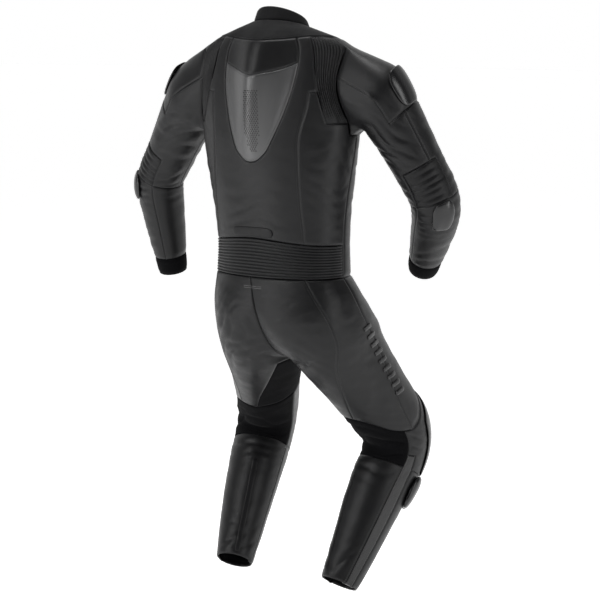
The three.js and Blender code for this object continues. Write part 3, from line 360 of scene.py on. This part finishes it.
def node_bmesh(node):
    """A copy of a node's closed mesh, with doubled points merged."""
    bm = bmesh.new()
    bm.from_mesh(frame["nodes"][node].data)
    bmesh.ops.remove_doubles(bm, verts=bm.verts, dist=MERGE_DISTANCE)
    bm.normal_update()
    return bm


def join_quads(bm):
    """Joins triangles back to quads, of any shape, but not over sharp bends."""
    bmesh.ops.join_triangles(
        bm, faces=bm.faces, angle_face_threshold=QUAD_ANGLE, angle_shape_threshold=math.pi)


def on_rim(face):
    """True where a face joins the wall's two layers: one of its edges is as short as the wall is thick."""
    return min(edge.calc_length() for edge in face.edges) < RIM_EDGE


def wall_layers(bm):
    """The connected faces of each layer, which the rim keeps apart."""
    left = {face for face in bm.faces if not on_rim(face)}
    layers = []
    while left:
        layer, queue = [], [left.pop()]
        while queue:
            face = queue.pop()
            layer.append(face)
            for other in {other for edge in face.edges for other in edge.link_faces}:
                if other in left:
                    left.remove(other)
                    queue.append(other)
        layers.append(layer)
    return layers


def push_of(face, line):
    """How much a face looks away from the middle line."""
    return face.calc_area() * face.normal.dot(away_from(line, face.calc_center_median()))


def keep_outer_face(bm, line, ribbed):
    """Leaves the outer layer of a wall. Ribs are as narrow as the rim, so their points are judged singly."""
    if ribbed:
        facing = dict.fromkeys(bm.verts, 0.0)
        for face in bm.faces:
            for vert in face.verts:
                facing[vert] += push_of(face, line)
        kept = {vert for vert, push in facing.items() if push > 0}
    else:
        outer = max(wall_layers(bm), key=lambda layer: sum(push_of(face, line) for face in layer))
        kept = {vert for face in outer for vert in face.verts}
    bmesh.ops.delete(bm, geom=list(set(bm.verts) - kept), context="VERTS")


def crease_corners(bm):
    """Keeps the corners of a panel's outline sharp when it is smoothed."""
    layer = bm.verts.layers.float.get("crease_vert") or bm.verts.layers.float.new("crease_vert")
    for vert in bm.verts:
        ends = [edge.other_vert(vert).co for edge in vert.link_edges if edge.is_boundary]
        if len(ends) == 2:
            turn = (vert.co - ends[0]).angle(ends[1] - vert.co, 0.0)
            vert[layer] = 1.0 if turn > SHARP_TURN else 0.0


def deepen_valleys(bm):
    """Pleats: the lines between two ribs stay sharp and lie deeper, so each rib is a round roll."""
    crease = bm.edges.layers.float.get("crease_edge") or bm.edges.layers.float.new("crease_edge")
    bm.normal_update()
    valleys = set()
    for edge in bm.edges:
        if len(edge.link_faces) == 2 and edge.calc_face_angle_signed(0.0) < -VALLEY_TURN:
            edge[crease] = VALLEY_CREASE
            valleys.update(edge.verts)
    moves = [(vert, vert.normal * cloth().valley_depth) for vert in valleys]
    for vert, move in moves:
        vert.co -= move


def new_object(name, mesh):
    """An object in the scene around a mesh, light or camera."""
    obj = bpy.data.objects.new(name, mesh)
    bpy.context.scene.collection.objects.link(obj)
    return obj


def apply_modifiers(obj):
    """Turns an object with modifiers into a plain mesh."""
    graph = bpy.context.evaluated_depsgraph_get()
    mesh = bpy.data.meshes.new_from_object(obj.evaluated_get(graph), depsgraph=graph)
    obj.modifiers.clear()
    old, obj.data = obj.data, mesh
    bpy.data.meshes.remove(old)
    return obj


def smooth_levels(obj, level):
    """Rounds a mesh by parting its quads level times."""
    if level:
        modifier = obj.modifiers.new("round", "SUBSURF")
        modifier.levels = modifier.render_levels = level
        modifier.boundary_smooth = "ALL"
        apply_modifiers(obj)


def outline_distance(mesh):
    """Each vertex's distance to the outline of an open sheet."""
    rim = rim_indices(mesh)
    tree = KDTree(len(rim))
    for index in rim:
        tree.insert(mesh.vertices[int(index)].co, int(index))
    tree.balance()
    return np.array([tree.find(vert.co)[2] for vert in mesh.vertices])


def placed_folds(points):
    """The height of the folds in the table at each point: round ridges between sharp creases."""
    heights = np.zeros(len(points))
    bend = np.array([noise.noise(Vector(p) * FOLD_BEND_SCALE) for p in points])
    for fold in FOLDS:
        across = np.array(fold["across"]) / np.linalg.norm(fold["across"])
        offset = points - np.array(fold["at"])
        phase = offset @ across / fold["pitch"] + FOLD_BEND * bend
        fade = np.exp(-((offset ** 2).sum(axis=1)) / fold["reach"] ** 2)
        ridges = np.abs(np.sin(math.pi * phase)) ** FOLD_ROUND - FOLD_MIDDLE
        heights += FOLD_DEPTH * fold["height"] * fade * ridges
    return heights


def fold_height(place, along):
    """Loose folds across a limb: noise that is stretched round it, at two sizes."""
    squeezed = place + along * place.dot(along) * LOOSE_SQUEEZE
    wide = noise.noise(squeezed * LOOSE_WIDE)
    fine = noise.noise(squeezed * LOOSE_FINE + LOOSE_FINE_SHIFT)
    return wide + LOOSE_FINE_SHARE * fine


def shape_sheet(obj, node, group):
    """Sinks a panel's edges into its seams and raises its loose folds."""
    mesh = obj.data
    settings = cloth()
    line = middle_line(node)
    distance = outline_distance(mesh)
    along = (line[-1] - line[0]).normalized()
    points = np.empty(3 * len(mesh.vertices))
    normals = np.empty(3 * len(mesh.vertices))
    mesh.vertices.foreach_get("co", points)
    mesh.vertices.foreach_get("normal", normals)
    points, normals = points.reshape(-1, 3), normals.reshape(-1, 3)
    near = np.clip(distance / settings.seam_width, 0, 1)
    height = -settings.seam_depth * (1 - near * (2 - near))
    if "folds" in group:
        inside = distance - settings.seam_width
        loose = np.clip(inside / LOOSE_FADE, 0, 1)
        folds = np.array([fold_height(Vector(p), along) for p in points])
        height += group["folds"] * loose * folds
        height += placed_folds(points) * np.clip(inside / FOLD_FADE, 0, 1)
    points += normals * height[:, None]
    mesh.vertices.foreach_set("co", points.ravel())
    mesh.update()


def thicken(obj):
    """Gives an open sheet its wall, inwards."""
    modifier = obj.modifiers.new("wall", "SOLIDIFY")
    modifier.thickness = cloth().wall
    modifier.offset = -1
    modifier.use_even_offset = False
    apply_modifiers(obj)


def finish_piece(obj, node, look):
    """Gives a piece its material and its body, and hides its CAD node."""
    obj.data.materials.clear()
    obj.data.materials.append(material(look))
    obj.data.shade_smooth()
    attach(obj, "pull_tab" if node == "zip_pull" else "suit")
    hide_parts(node)
    return obj


def rim_keys(mesh):
    """The sides that only one face of an open sheet has, as pairs of vertices."""
    shared = {}
    for face in mesh.polygons:
        for key in face.edge_keys:
            shared[key] = shared.get(key, 0) + 1
    return [key for key, count in shared.items() if count == 1]


def build_sheet(node):
    """The smooth outer face of a cloth node, still open and without its wall."""
    group = group_of(node)
    bm = node_bmesh(node)
    keep_outer_face(bm, middle_line(node), group["look"] == "pleats")
    join_quads(bm)
    crease_corners(bm)
    if group["look"] == "pleats":
        deepen_valleys(bm)
    mesh = bpy.data.meshes.new(node)
    bm.to_mesh(mesh)
    bm.free()
    obj = new_object(node + "_cloth", mesh)
    smooth_levels(obj, group["level"])
    return obj


def rim_indices(mesh):
    """The vertices on an open sheet's outline."""
    count = np.zeros(len(mesh.edges), int)
    loops = np.empty(len(mesh.loops), int)
    mesh.loops.foreach_get("edge_index", loops)
    np.add.at(count, loops, 1)
    edges = np.empty(2 * len(mesh.edges), int)
    mesh.edges.foreach_get("vertices", edges)
    return np.unique(edges.reshape(-1, 2)[count == 1])


def close_seams(sheets):
    """Draws the outlines of neighbouring panels together, where the solids leave a wide seam."""
    settings = cloth()
    rims = {node: rim_indices(obj.data) for node, obj in sheets.items()}
    moves = {}
    joined = {node: set() for node in sheets}
    for node, obj in sheets.items():
        others = [(other, index) for other in sheets if other != node for index in rims[other]]
        tree = KDTree(len(others))
        for place, (other, index) in enumerate(others):
            tree.insert(sheets[other].data.vertices[int(index)].co, place)
        tree.balance()
        for index in rims[node]:
            here = obj.data.vertices[int(index)].co
            there, place, far = tree.find(here)
            if far < settings.seam_reach:
                joined[node].add(int(index))
            if settings.seam_gap < far < settings.seam_reach:
                moves[node, int(index)] = (there - here) * (0.5 - 0.5 * settings.seam_gap / far)
    for (node, index), move in moves.items():
        sheets[node].data.vertices[index].co += move
    return joined


def add_allowance(obj, joined):
    """Folds a narrow seam allowance under the neighbour along the outline points in joined."""
    settings = cloth()
    bm = bmesh.new()
    bm.from_mesh(obj.data)
    bm.verts.ensure_lookup_table()
    bm.normal_update()
    rims = [e for e in bm.edges if e.is_boundary and all(vert.index in joined for vert in e.verts)]
    outward = {}
    for edge in rims:
        loop = edge.link_loops[0]
        run = loop.link_loop_next.vert.co - loop.vert.co
        away = run.cross(loop.face.normal).normalized()
        for vert in edge.verts:
            outward[vert] = outward.get(vert, Vector()) + away
    tucked = {}
    for vert, away in outward.items():
        place = vert.co + settings.allowance * away.normalized() - settings.allowance_drop * vert.normal
        tucked[vert] = bm.verts.new(place)
    for edge in rims:
        loop = edge.link_loops[0]
        first, second = loop.vert, loop.link_loop_next.vert
        bm.faces.new((second, first, tucked[first], tucked[second]))
    bm.to_mesh(obj.data)
    bm.free()


def build_panel(obj, node, joined):
    """Turns an open sheet into the finished panel of its node."""
    shape_sheet(obj, node, group_of(node))
    guides[node] = obj.data.copy()
    add_allowance(obj, joined)
    thicken(obj)
    finish_piece(obj, node, group_of(node)["look"])
    return obj


def build_solid(node):
    """A hard part or a pad: the CAD solid with rounded edges."""
    group = group_of(node)
    bm = node_bmesh(node)
    join_quads(bm)
    mesh = bpy.data.meshes.new(node)
    bm.to_mesh(mesh)
    bm.free()
    obj = new_object(node + "_solid", mesh)
    smooth_levels(obj, group["level"])
    finish_piece(obj, node, group["look"])
    return obj


def material(look):
    """The material of a look, made once."""
    name = "suit_" + look
    if name in bpy.data.materials:
        return bpy.data.materials[name]
    made = bpy.data.materials.new(name)
    made.use_nodes = True
    nodes, links = made.node_tree.nodes, made.node_tree.links
    shader = nodes["Principled BSDF"]
    settings = cloth()
    if look in LEATHERS:
        kind = LEATHERS[look]
        tint = getattr(settings, kind["colour"])
        leather(nodes, links, shader, tint, kind["roughness"], kind["specular"])
    elif look in PLAIN_LOOKS:
        kind = PLAIN_LOOKS[look]
        plain(shader, getattr(settings, kind["colour"]), kind["roughness"], kind["metallic"])
    # Perforations are plain black: a painted shade of the holes' insides.
    elif look == "hole":
        plain(shader, HOLE_SHADE, 1.0, 0.0)
    else:
        woven(nodes, links, shader, settings.stretch)
    return made


def plain(shader, colour, roughness, metallic):
    """Sets a material's even values."""
    shader.inputs["Base Color"].default_value = (*colour, 1)
    shader.inputs["Roughness"].default_value = roughness
    shader.inputs["Metallic"].default_value = metallic


def add_texture(nodes, links, kind, scale, **inputs):
    """A texture on the object's own coordinates."""
    place = nodes.new("ShaderNodeTexCoord")
    texture = nodes.new(kind)
    links.new(place.outputs["Object"], texture.inputs["Vector"])
    texture.inputs["Scale"].default_value = scale
    for name, value in inputs.items():
        texture.inputs[name].default_value = value
    return texture


def add_bump(nodes, links, shader, heights, strength, distance):
    """Chains the heights into one bump map."""
    normal = None
    for height in heights:
        bump = nodes.new("ShaderNodeBump")
        bump.inputs["Strength"].default_value = strength
        bump.inputs["Distance"].default_value = distance
        links.new(height, bump.inputs["Height"])
        if normal:
            links.new(normal, bump.inputs["Normal"])
        normal = bump.outputs["Normal"]
    links.new(normal, shader.inputs["Normal"])


def vary(nodes, links, source, socket, low, high):
    """Lets a texture move a shader value between two limits."""
    spread = nodes.new("ShaderNodeMapRange")
    spread.inputs["To Min"].default_value = low
    spread.inputs["To Max"].default_value = high
    links.new(source, spread.inputs["Value"])
    links.new(spread.outputs["Result"], socket)


def leather(nodes, links, shader, colour, roughness, specular):
    """Smooth cowhide: fine grain, slow changes of sheen and of tone."""
    plain(shader, colour, roughness, 0.0)
    shader.inputs["Specular IOR Level"].default_value = specular
    grain = add_texture(nodes, links, "ShaderNodeTexVoronoi", GRAIN_SCALE)
    creases = add_texture(nodes, links, "ShaderNodeTexNoise", CREASE_SCALE, Detail=6.0, Roughness=0.6)
    sheen = add_texture(nodes, links, "ShaderNodeTexNoise", SHEEN_SCALE, Detail=3.0)
    tone = nodes.new("ShaderNodeValToRGB")
    for element, share in zip(tone.color_ramp.elements, TONES):
        element.color = (*(share * c for c in colour), 1)
    links.new(sheen.outputs["Fac"], tone.inputs["Fac"])
    links.new(tone.outputs["Color"], shader.inputs["Base Color"])
    low, high = roughness - SMOOTHER, roughness + ROUGHER
    vary(nodes, links, creases.outputs["Fac"], shader.inputs["Roughness"], low, high)
    add_bump(nodes, links, shader, [grain.outputs["Distance"], creases.outputs["Fac"]], **LEATHER_BUMP)


def woven(nodes, links, shader, colour):
    """Matt stretch cloth with a fine weave."""
    plain(shader, colour, WOVEN["roughness"], 0.0)
    shader.inputs["Specular IOR Level"].default_value = WOVEN["specular"]
    shader.inputs["Sheen Weight"].default_value = WOVEN["sheen"]
    weave = add_texture(nodes, links, "ShaderNodeTexVoronoi", WEAVE_SCALE)
    fuzz = add_texture(nodes, links, "ShaderNodeTexNoise", FUZZ_SCALE, Detail=4.0)
    add_bump(nodes, links, shader, [weave.outputs["Distance"], fuzz.outputs["Fac"]], **WOVEN_BUMP)


def outline_loops(mesh):
    """The closed outlines of an open sheet, as lists of vertex indices in order."""
    rims = set(rim_keys(mesh))
    after = {}
    for polygon in mesh.polygons:
        ring = list(polygon.vertices)
        for start, end in zip(ring, ring[1:] + ring[:1]):
            if (min(start, end), max(start, end)) in rims:
                after[start] = end
    loops = []
    while after:
        start = next(iter(after))
        loop = [start]
        while after.get(loop[-1]) is not None:
            loop.append(after.pop(loop[-1]))
            if loop[-1] == start:
                break
        loops.append(loop[:-1])
    return loops


def seam_places(mesh, inset, pitch):
    """Places along a line inside each outline, with the line's way and the cloth's outward way there."""
    tree = BVHTree.FromPolygons([v.co for v in mesh.vertices], [list(p.vertices) for p in mesh.polygons])
    places = []
    for loop in outline_loops(mesh):
        ring = [mesh.vertices[index] for index in loop]
        line = []
        for before, here, after in zip(ring[-1:] + ring[:-1], ring, ring[1:] + ring[:1]):
            run = (after.co - before.co).normalized()
            inward = here.normal.cross(run)
            found = tree.find_nearest(here.co + inset * inward)
            if found[0] is not None:
                line.append((found[0], found[1]))
        line.append(line[0])
        walked, due = 0.0, 0.0
        for (start, start_normal), (end, end_normal) in zip(line, line[1:]):
            step = (end - start).length
            while step > 0 and due <= walked + step:
                share = (due - walked) / step
                normal = start_normal.lerp(end_normal, share)
                places.append((start.lerp(end, share), (end - start).normalized(), normal))
                due += pitch
            walked += step
    return places


def bar_nodes(name, radius, length, look, sides):
    """Geometry nodes that put a small rounded bar on each point, along its run and square to its out."""
    tree = bpy.data.node_groups.new(name, "GeometryNodeTree")
    tree.interface.new_socket("Geometry", in_out="INPUT", socket_type="NodeSocketGeometry")
    tree.interface.new_socket("Geometry", in_out="OUTPUT", socket_type="NodeSocketGeometry")
    nodes, links = tree.nodes, tree.links
    source, target = nodes.new("NodeGroupInput"), nodes.new("NodeGroupOutput")
    bar = nodes.new("GeometryNodeMeshUVSphere")
    bar.inputs["Segments"].default_value = sides
    bar.inputs["Rings"].default_value = 4
    bar.inputs["Radius"].default_value = radius
    stretch_bar = nodes.new("GeometryNodeTransform")
    stretch_bar.inputs["Scale"].default_value = (1, 1, length / (2 * radius))
    lay = nodes.new("GeometryNodeInstanceOnPoints")
    along, upward = nodes.new("FunctionNodeAlignEulerToVector"), nodes.new("FunctionNodeAlignEulerToVector")
    along.axis, upward.axis, upward.pivot_axis = "Z", "X", "Z"
    run, out = nodes.new("GeometryNodeInputNamedAttribute"), nodes.new("GeometryNodeInputNamedAttribute")
    for node, key in ((run, "run"), (out, "out")):
        node.data_type = "FLOAT_VECTOR"
        node.inputs["Name"].default_value = key
    links.new(bar.outputs["Mesh"], stretch_bar.inputs["Geometry"])
    links.new(run.outputs["Attribute"], along.inputs["Vector"])
    links.new(out.outputs["Attribute"], upward.inputs["Vector"])
    links.new(along.outputs["Rotation"], upward.inputs["Rotation"])
    links.new(upward.outputs["Rotation"], lay.inputs["Rotation"])
    links.new(stretch_bar.outputs["Geometry"], lay.inputs["Instance"])
    links.new(source.outputs["Geometry"], lay.inputs["Points"])
    realize, paint = nodes.new("GeometryNodeRealizeInstances"), nodes.new("GeometryNodeSetMaterial")
    paint.inputs["Material"].default_value = material(look)
    links.new(lay.outputs["Instances"], realize.inputs["Geometry"])
    links.new(realize.outputs["Geometry"], paint.inputs["Geometry"])
    links.new(paint.outputs["Geometry"], target.inputs["Geometry"])
    return tree


def scatter(name, places, radius, length, look, sides=6):
    """One small rounded bar at each place, put there by geometry nodes and made plain."""
    mesh = bpy.data.meshes.new(name)
    mesh.from_pydata([place for place, run, normal in places], [], [])
    for key, column in (("run", 1), ("out", 2)):
        attribute = mesh.attributes.new(key, "FLOAT_VECTOR", "POINT")
        attribute.data.foreach_set("vector", [x for entry in places for x in entry[column]])
    obj = new_object(name, mesh)
    tree = bar_nodes(name, radius, length, look, sides)
    obj.modifiers.new("repeat", "NODES").node_group = tree
    apply_modifiers(obj)
    obj.data.shade_smooth()
    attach(obj, "suit")
    return obj


def build_stitches():
    """A stitched line inside the seams of the panels in view."""
    sizes = trim()
    for group, names in STITCHED.items():
        places = []
        for name in names:
            places += seam_places(guides[name], sizes.stitch_inset, sizes.stitch_pitch)
        scatter("stitches_" + group, places, sizes.stitch_radius, sizes.stitch_length, "thread")
    build_tack()


def build_tack():
    """The short stitched bar below the waist, on the seat."""
    tree = surface_of(["seat_left", "seat_right"])
    places = []
    for height in TACK["rows"]:
        x = TACK["right"]
        while x < TACK["left"]:
            place, normal = tree.ray_cast(Vector((x, BEHIND, height)), Vector((0, -1, 0)))[:2]
            if place is not None:
                places.append((place + TACK_STITCH["lift"] * normal, Vector((1, 0, 0)), normal))
            x += TACK_STITCH["pitch"]
    scatter("bar_tack", places, TACK_STITCH["radius"], TACK_STITCH["length"], "tack")


def build_perforations():
    """Small holes down the middle of the hump, in staggered rows: black balls half sunk into the cloth, whose
    black is a painted shade of the holes' insides.
    """
    sizes = trim()
    tree = surface_of(["hump_shell"])
    places = []
    height, row = STRIP_LOW, 0
    while height < STRIP_TOP:
        taper = STRIP_HALF * min(1.0, (height - STRIP_LOW + STRIP_END) / STRIP_TAPER) ** 0.5
        count = int(taper / sizes.hole_pitch)
        for k in range(-count, count + 1):
            x = STRIP_MIDDLE + (k + 0.5 * (row % 2)) * sizes.hole_pitch
            place, normal = tree.ray_cast(Vector((x, BEHIND, height)), Vector((0, -1, 0)))[:2]
            if place is not None:
                places.append((place, normal.orthogonal().normalized(), normal))
        height += sizes.hole_pitch * ROW_STEP
        row += 1
    scatter("perforations", places, sizes.hole_radius, 2 * sizes.hole_radius, "hole")


def surface_of(names):
    """The cloth of some panels, to lay things on."""
    vertices, faces = [], []
    for node in names:
        start = len(vertices)
        vertices += [v.co.copy() for v in guides[node].vertices]
        faces += [[start + index for index in p.vertices] for p in guides[node].polygons]
    return BVHTree.FromPolygons(vertices, faces)


def add_bar(bm, tree, middle, way, across, size):
    """One raised bar: two closed layers of points laid on the cloth, the lower one just under its face."""
    count = size["steps"]
    shares = [-1 + 2 * k / (count - 1) for k in range(count)]
    layers = []
    for lift in (-BAR_FOOT, size["height"]):
        layer = []
        for u in shares:
            for v in (-1.0, 0.0, 1.0):
                place = middle + u * size["half_length"] * way + v * size["half_width"] * across
                found, normal = tree.find_nearest(place)[:2]
                layer.append(bm.verts.new(found + lift * normal))
        layers.append(layer)
    bottom, top = layers
    for i in range(count - 1):
        for j in range(2):
            a, b, c, d = 3 * i + j, 3 * i + j + 1, 3 * i + j + 4, 3 * i + j + 3
            bm.faces.new((top[a], top[d], top[c], top[b]))
            bm.faces.new((bottom[a], bottom[b], bottom[c], bottom[d]))
    last = 3 * (count - 1)
    rim = [0, 1, 2] + [3 * i + 2 for i in range(1, count)] + [last + 1, last]
    rim += [3 * i for i in range(count - 2, 0, -1)]
    for a, b in zip(rim, rim[1:] + rim[:1]):
        bm.faces.new((bottom[a], top[a], top[b], bottom[b]))
    bmesh.ops.recalc_face_normals(bm, faces=bm.faces)


def finish_bars(bm, name, look):
    """Turns bars or a flap into one smooth object."""
    mesh = bpy.data.meshes.new(name)
    bm.to_mesh(mesh)
    bm.free()
    obj = new_object(name, mesh)
    smooth_levels(obj, TRIM_LEVEL)
    obj.data.materials.append(material(look))
    obj.data.shade_smooth()
    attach(obj, "suit")


def build_bars():
    """A row of plain raised bars on each outer thigh, each laid on the cloth under it."""
    for row in BARS:
        tree = surface_of(["thigh_outer_" + row["side"], "thigh_front_" + row["side"]])
        top, low = Vector(row["top"]), Vector(row["low"])
        run = (low - top).normalized()
        bm = bmesh.new()
        for k in range(BAR_COUNT):
            middle, normal = tree.find_nearest(top.lerp(low, (k + 0.5) / BAR_COUNT))[:2]
            way = (normal.cross(run).normalized() + BAR_SLANT * run).normalized()
            add_bar(bm, tree, middle, way, normal.cross(way).normalized(), BAR)
        finish_bars(bm, "thigh_bars_" + row["side"], "gloss")


def build_flaps():
    """The narrow flap over the zip down each calf."""
    for row in FLAPS:
        tree = surface_of(["calf_back_" + row["side"], "calf_strip_" + row["side"]])
        top, low = Vector(row["top"]), Vector(row["low"])
        middle, normal = tree.find_nearest((top + low) / 2)[:2]
        way = (low - top).normalized()
        bm = bmesh.new()
        add_bar(bm, tree, middle, way, normal.cross(way).normalized(), FLAP)
        finish_bars(bm, "calf_flap_" + row["side"], "leather")


def build_teeth():
    """The closed zip's teeth, in one row down the middle of its tape."""
    sizes = trim()
    tape = [vert.co.copy() for vert in frame["nodes"]["zip_tape"].data.vertices]
    source = bmesh.new()
    source.from_mesh(frame["nodes"]["zip_tape"].data)
    tree = BVHTree.FromBMesh(source)
    source.free()
    low, high = min(p.z for p in tape) + ZIP_END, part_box("zip_slider")[0][2]
    rows = {}
    for place in tape:
        rows.setdefault(round(place.z / ZIP_ROW), []).append(place)
    heights = [sum(p.z for p in rows[key]) / len(rows[key]) for key in sorted(rows)]
    middles = [(min(p.x for p in rows[key]) + max(p.x for p in rows[key])) / 2 for key in sorted(rows)]
    places = []
    height = low
    while height < high:
        x = float(np.interp(height, heights, middles))
        place, normal = tree.ray_cast(Vector((x, BEFORE, height)), Vector((0, 1, 0)))[:2]
        if place is not None:
            places.append((place, Vector((1, 0, 0)), normal))
        height += sizes.tooth_pitch
    scatter("zip_teeth", places, TOOTH["radius"], TOOTH["length"], "metal", TOOTH["sides"])


def look_from(settings):
    """The direction from the target to the camera."""
    flat = math.cos(settings.elevation)
    return Vector((
        math.sin(settings.azimuth) * flat,
        -math.cos(settings.azimuth) * flat,
        math.sin(settings.elevation),
    ))


def add_area_light(name, place, target, power, size):
    """A soft light that looks at the target."""
    data = bpy.data.lights.new(name, "AREA")
    data.shape = "RECTANGLE"
    data.size, data.size_y = size
    data.energy = power
    light = new_object(name, data)
    light.location = place
    light.rotation_euler = (Vector(target) - Vector(place)).to_track_quat("-Z", "Y").to_euler()
    return light


def shade_world(tree, toward):
    """A studio that is brightest on the far side of the suit."""
    nodes, links = tree.nodes, tree.links
    nodes["Background"].inputs["Color"].default_value = (1, 1, 1, 1)
    place, facing = nodes.new("ShaderNodeTexCoord"), nodes.new("ShaderNodeVectorMath")
    level = nodes.new("ShaderNodeMapRange")
    facing.operation = "DOT_PRODUCT"
    facing.inputs[1].default_value = -toward
    level.interpolation_type = "SMOOTHSTEP"
    level.inputs["From Min"].default_value = TURN_START
    level.inputs["From Max"].default_value = TURN_END
    level.inputs["To Min"].default_value = FRONT_LIGHT
    level.inputs["To Max"].default_value = BACK_LIGHT
    links.new(place.outputs["Generated"], facing.inputs[0])
    links.new(facing.outputs["Value"], level.inputs["Value"])
    links.new(level.outputs["Result"], nodes["Background"].inputs["Strength"])


def add_floor():
    """Pale paper under the suit, which glows a little."""
    low = min(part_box(node)[0][2] for node in frame["nodes"])
    mesh = bpy.data.meshes.new("floor")
    half, z = FLOOR_HALF, low - FLOOR_GAP
    mesh.from_pydata([(-half, -half, z), (half, -half, z), (half, half, z), (-half, half, z)], [], [(0, 1, 2, 3)])
    floor = new_object("floor", mesh)
    paper = bpy.data.materials.new("paper")
    paper.use_nodes = True
    shader = paper.node_tree.nodes["Principled BSDF"]
    plain(shader, PAPER, 1.0, 0.0)
    shader.inputs["Emission Color"].default_value = (1, 1, 1, 1)
    shader.inputs["Emission Strength"].default_value = PAPER_GLOW
    mesh.materials.append(paper)
    return floor


def build_stage():
    """The camera at the photo's angle, the lights, the studio and its floor."""
    scene = bpy.context.scene
    settings = scene.suit_stage
    target = Vector(settings.target)
    toward = look_from(settings)
    camera_data = bpy.data.cameras.new("camera")
    camera_data.sensor_width = SENSOR_WIDTH
    camera_data.lens = SENSOR_WIDTH * settings.distance / settings.width
    camera = new_object("camera", camera_data)
    camera.location = target + settings.distance * toward
    camera.rotation_euler = toward.to_track_quat("Z", "Y").to_euler()
    scene.camera = camera
    side = Vector((0, 0, 1)).cross(toward).normalized()
    up = toward.cross(side)
    for light in LIGHTS:
        near, above, beside = light["place"]
        place = target + near * toward + above * up + beside * side
        add_area_light(light["name"], place, target, light["power"], light["size"])
    world = bpy.data.worlds.new("studio")
    world.use_nodes = True
    shade_world(world.node_tree, toward)
    scene.world = world
    scene.view_settings.view_transform = "Standard"
    add_floor()


class SUIT_OT_cloth(bpy.types.Operator):
    """Build the sewn panels and the hard parts"""

    bl_idname = "suit.cloth"
    bl_label = "Cloth and hard parts"

    def execute(self, context):
        sheets = {}
        for node in sorted(frame["nodes"]):
            if group_of(node)["look"] in SOLID_LOOKS or node in SOLID_NODES:
                build_solid(node)
            else:
                sheets[node] = build_sheet(node)
        joined = close_seams(sheets)
        for node, obj in sheets.items():
            build_panel(obj, node, joined[node])
        return {"FINISHED"}


class SUIT_OT_trim(bpy.types.Operator):
    """Add stitches, perforations and zip teeth"""

    bl_idname = "suit.trim"
    bl_label = "Stitches, holes and teeth"

    def execute(self, context):
        build_stitches()
        build_perforations()
        build_bars()
        build_flaps()
        build_teeth()
        return {"FINISHED"}


class SUIT_OT_stage(bpy.types.Operator):
    """Set up floor, light and camera"""

    bl_idname = "suit.stage"
    bl_label = "Stage"

    def execute(self, context):
        build_stage()
        return {"FINISHED"}


class SUIT_PT_panel(bpy.types.Panel):
    """Sizes, colours and the steps that build the suit"""

    bl_label = "Race suit"
    bl_idname = "SUIT_PT_panel"
    bl_space_type = "VIEW_3D"
    bl_region_type = "UI"
    bl_category = "Race suit"

    def draw(self, context):
        for name, step in (("suit_cloth", "suit.cloth"), ("suit_trim", "suit.trim"), ("suit_stage", "suit.stage")):
            box = self.layout.box()
            settings = getattr(context.scene, name)
            for key in settings.__annotations__:
                box.prop(settings, key)
            box.operator(step)


CLASSES = (ClothSettings, TrimSettings, StageSettings, SUIT_OT_cloth, SUIT_OT_trim, SUIT_OT_stage, SUIT_PT_panel)


def register():
    for cls in CLASSES:
        bpy.utils.register_class(cls)
    bpy.types.Scene.suit_cloth = bpy.props.PointerProperty(type=ClothSettings)
    bpy.types.Scene.suit_trim = bpy.props.PointerProperty(type=TrimSettings)
    bpy.types.Scene.suit_stage = bpy.props.PointerProperty(type=StageSettings)


def unregister():
    for name in ("suit_cloth", "suit_trim", "suit_stage"):
        delattr(bpy.types.Scene, name)
    for cls in reversed(CLASSES):
        bpy.utils.unregister_class(cls)


def main():
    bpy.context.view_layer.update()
    register()
    bpy.ops.suit.cloth()
    bpy.ops.suit.trim()
    bpy.ops.suit.stage()


if __name__ == "__main__":
    main()
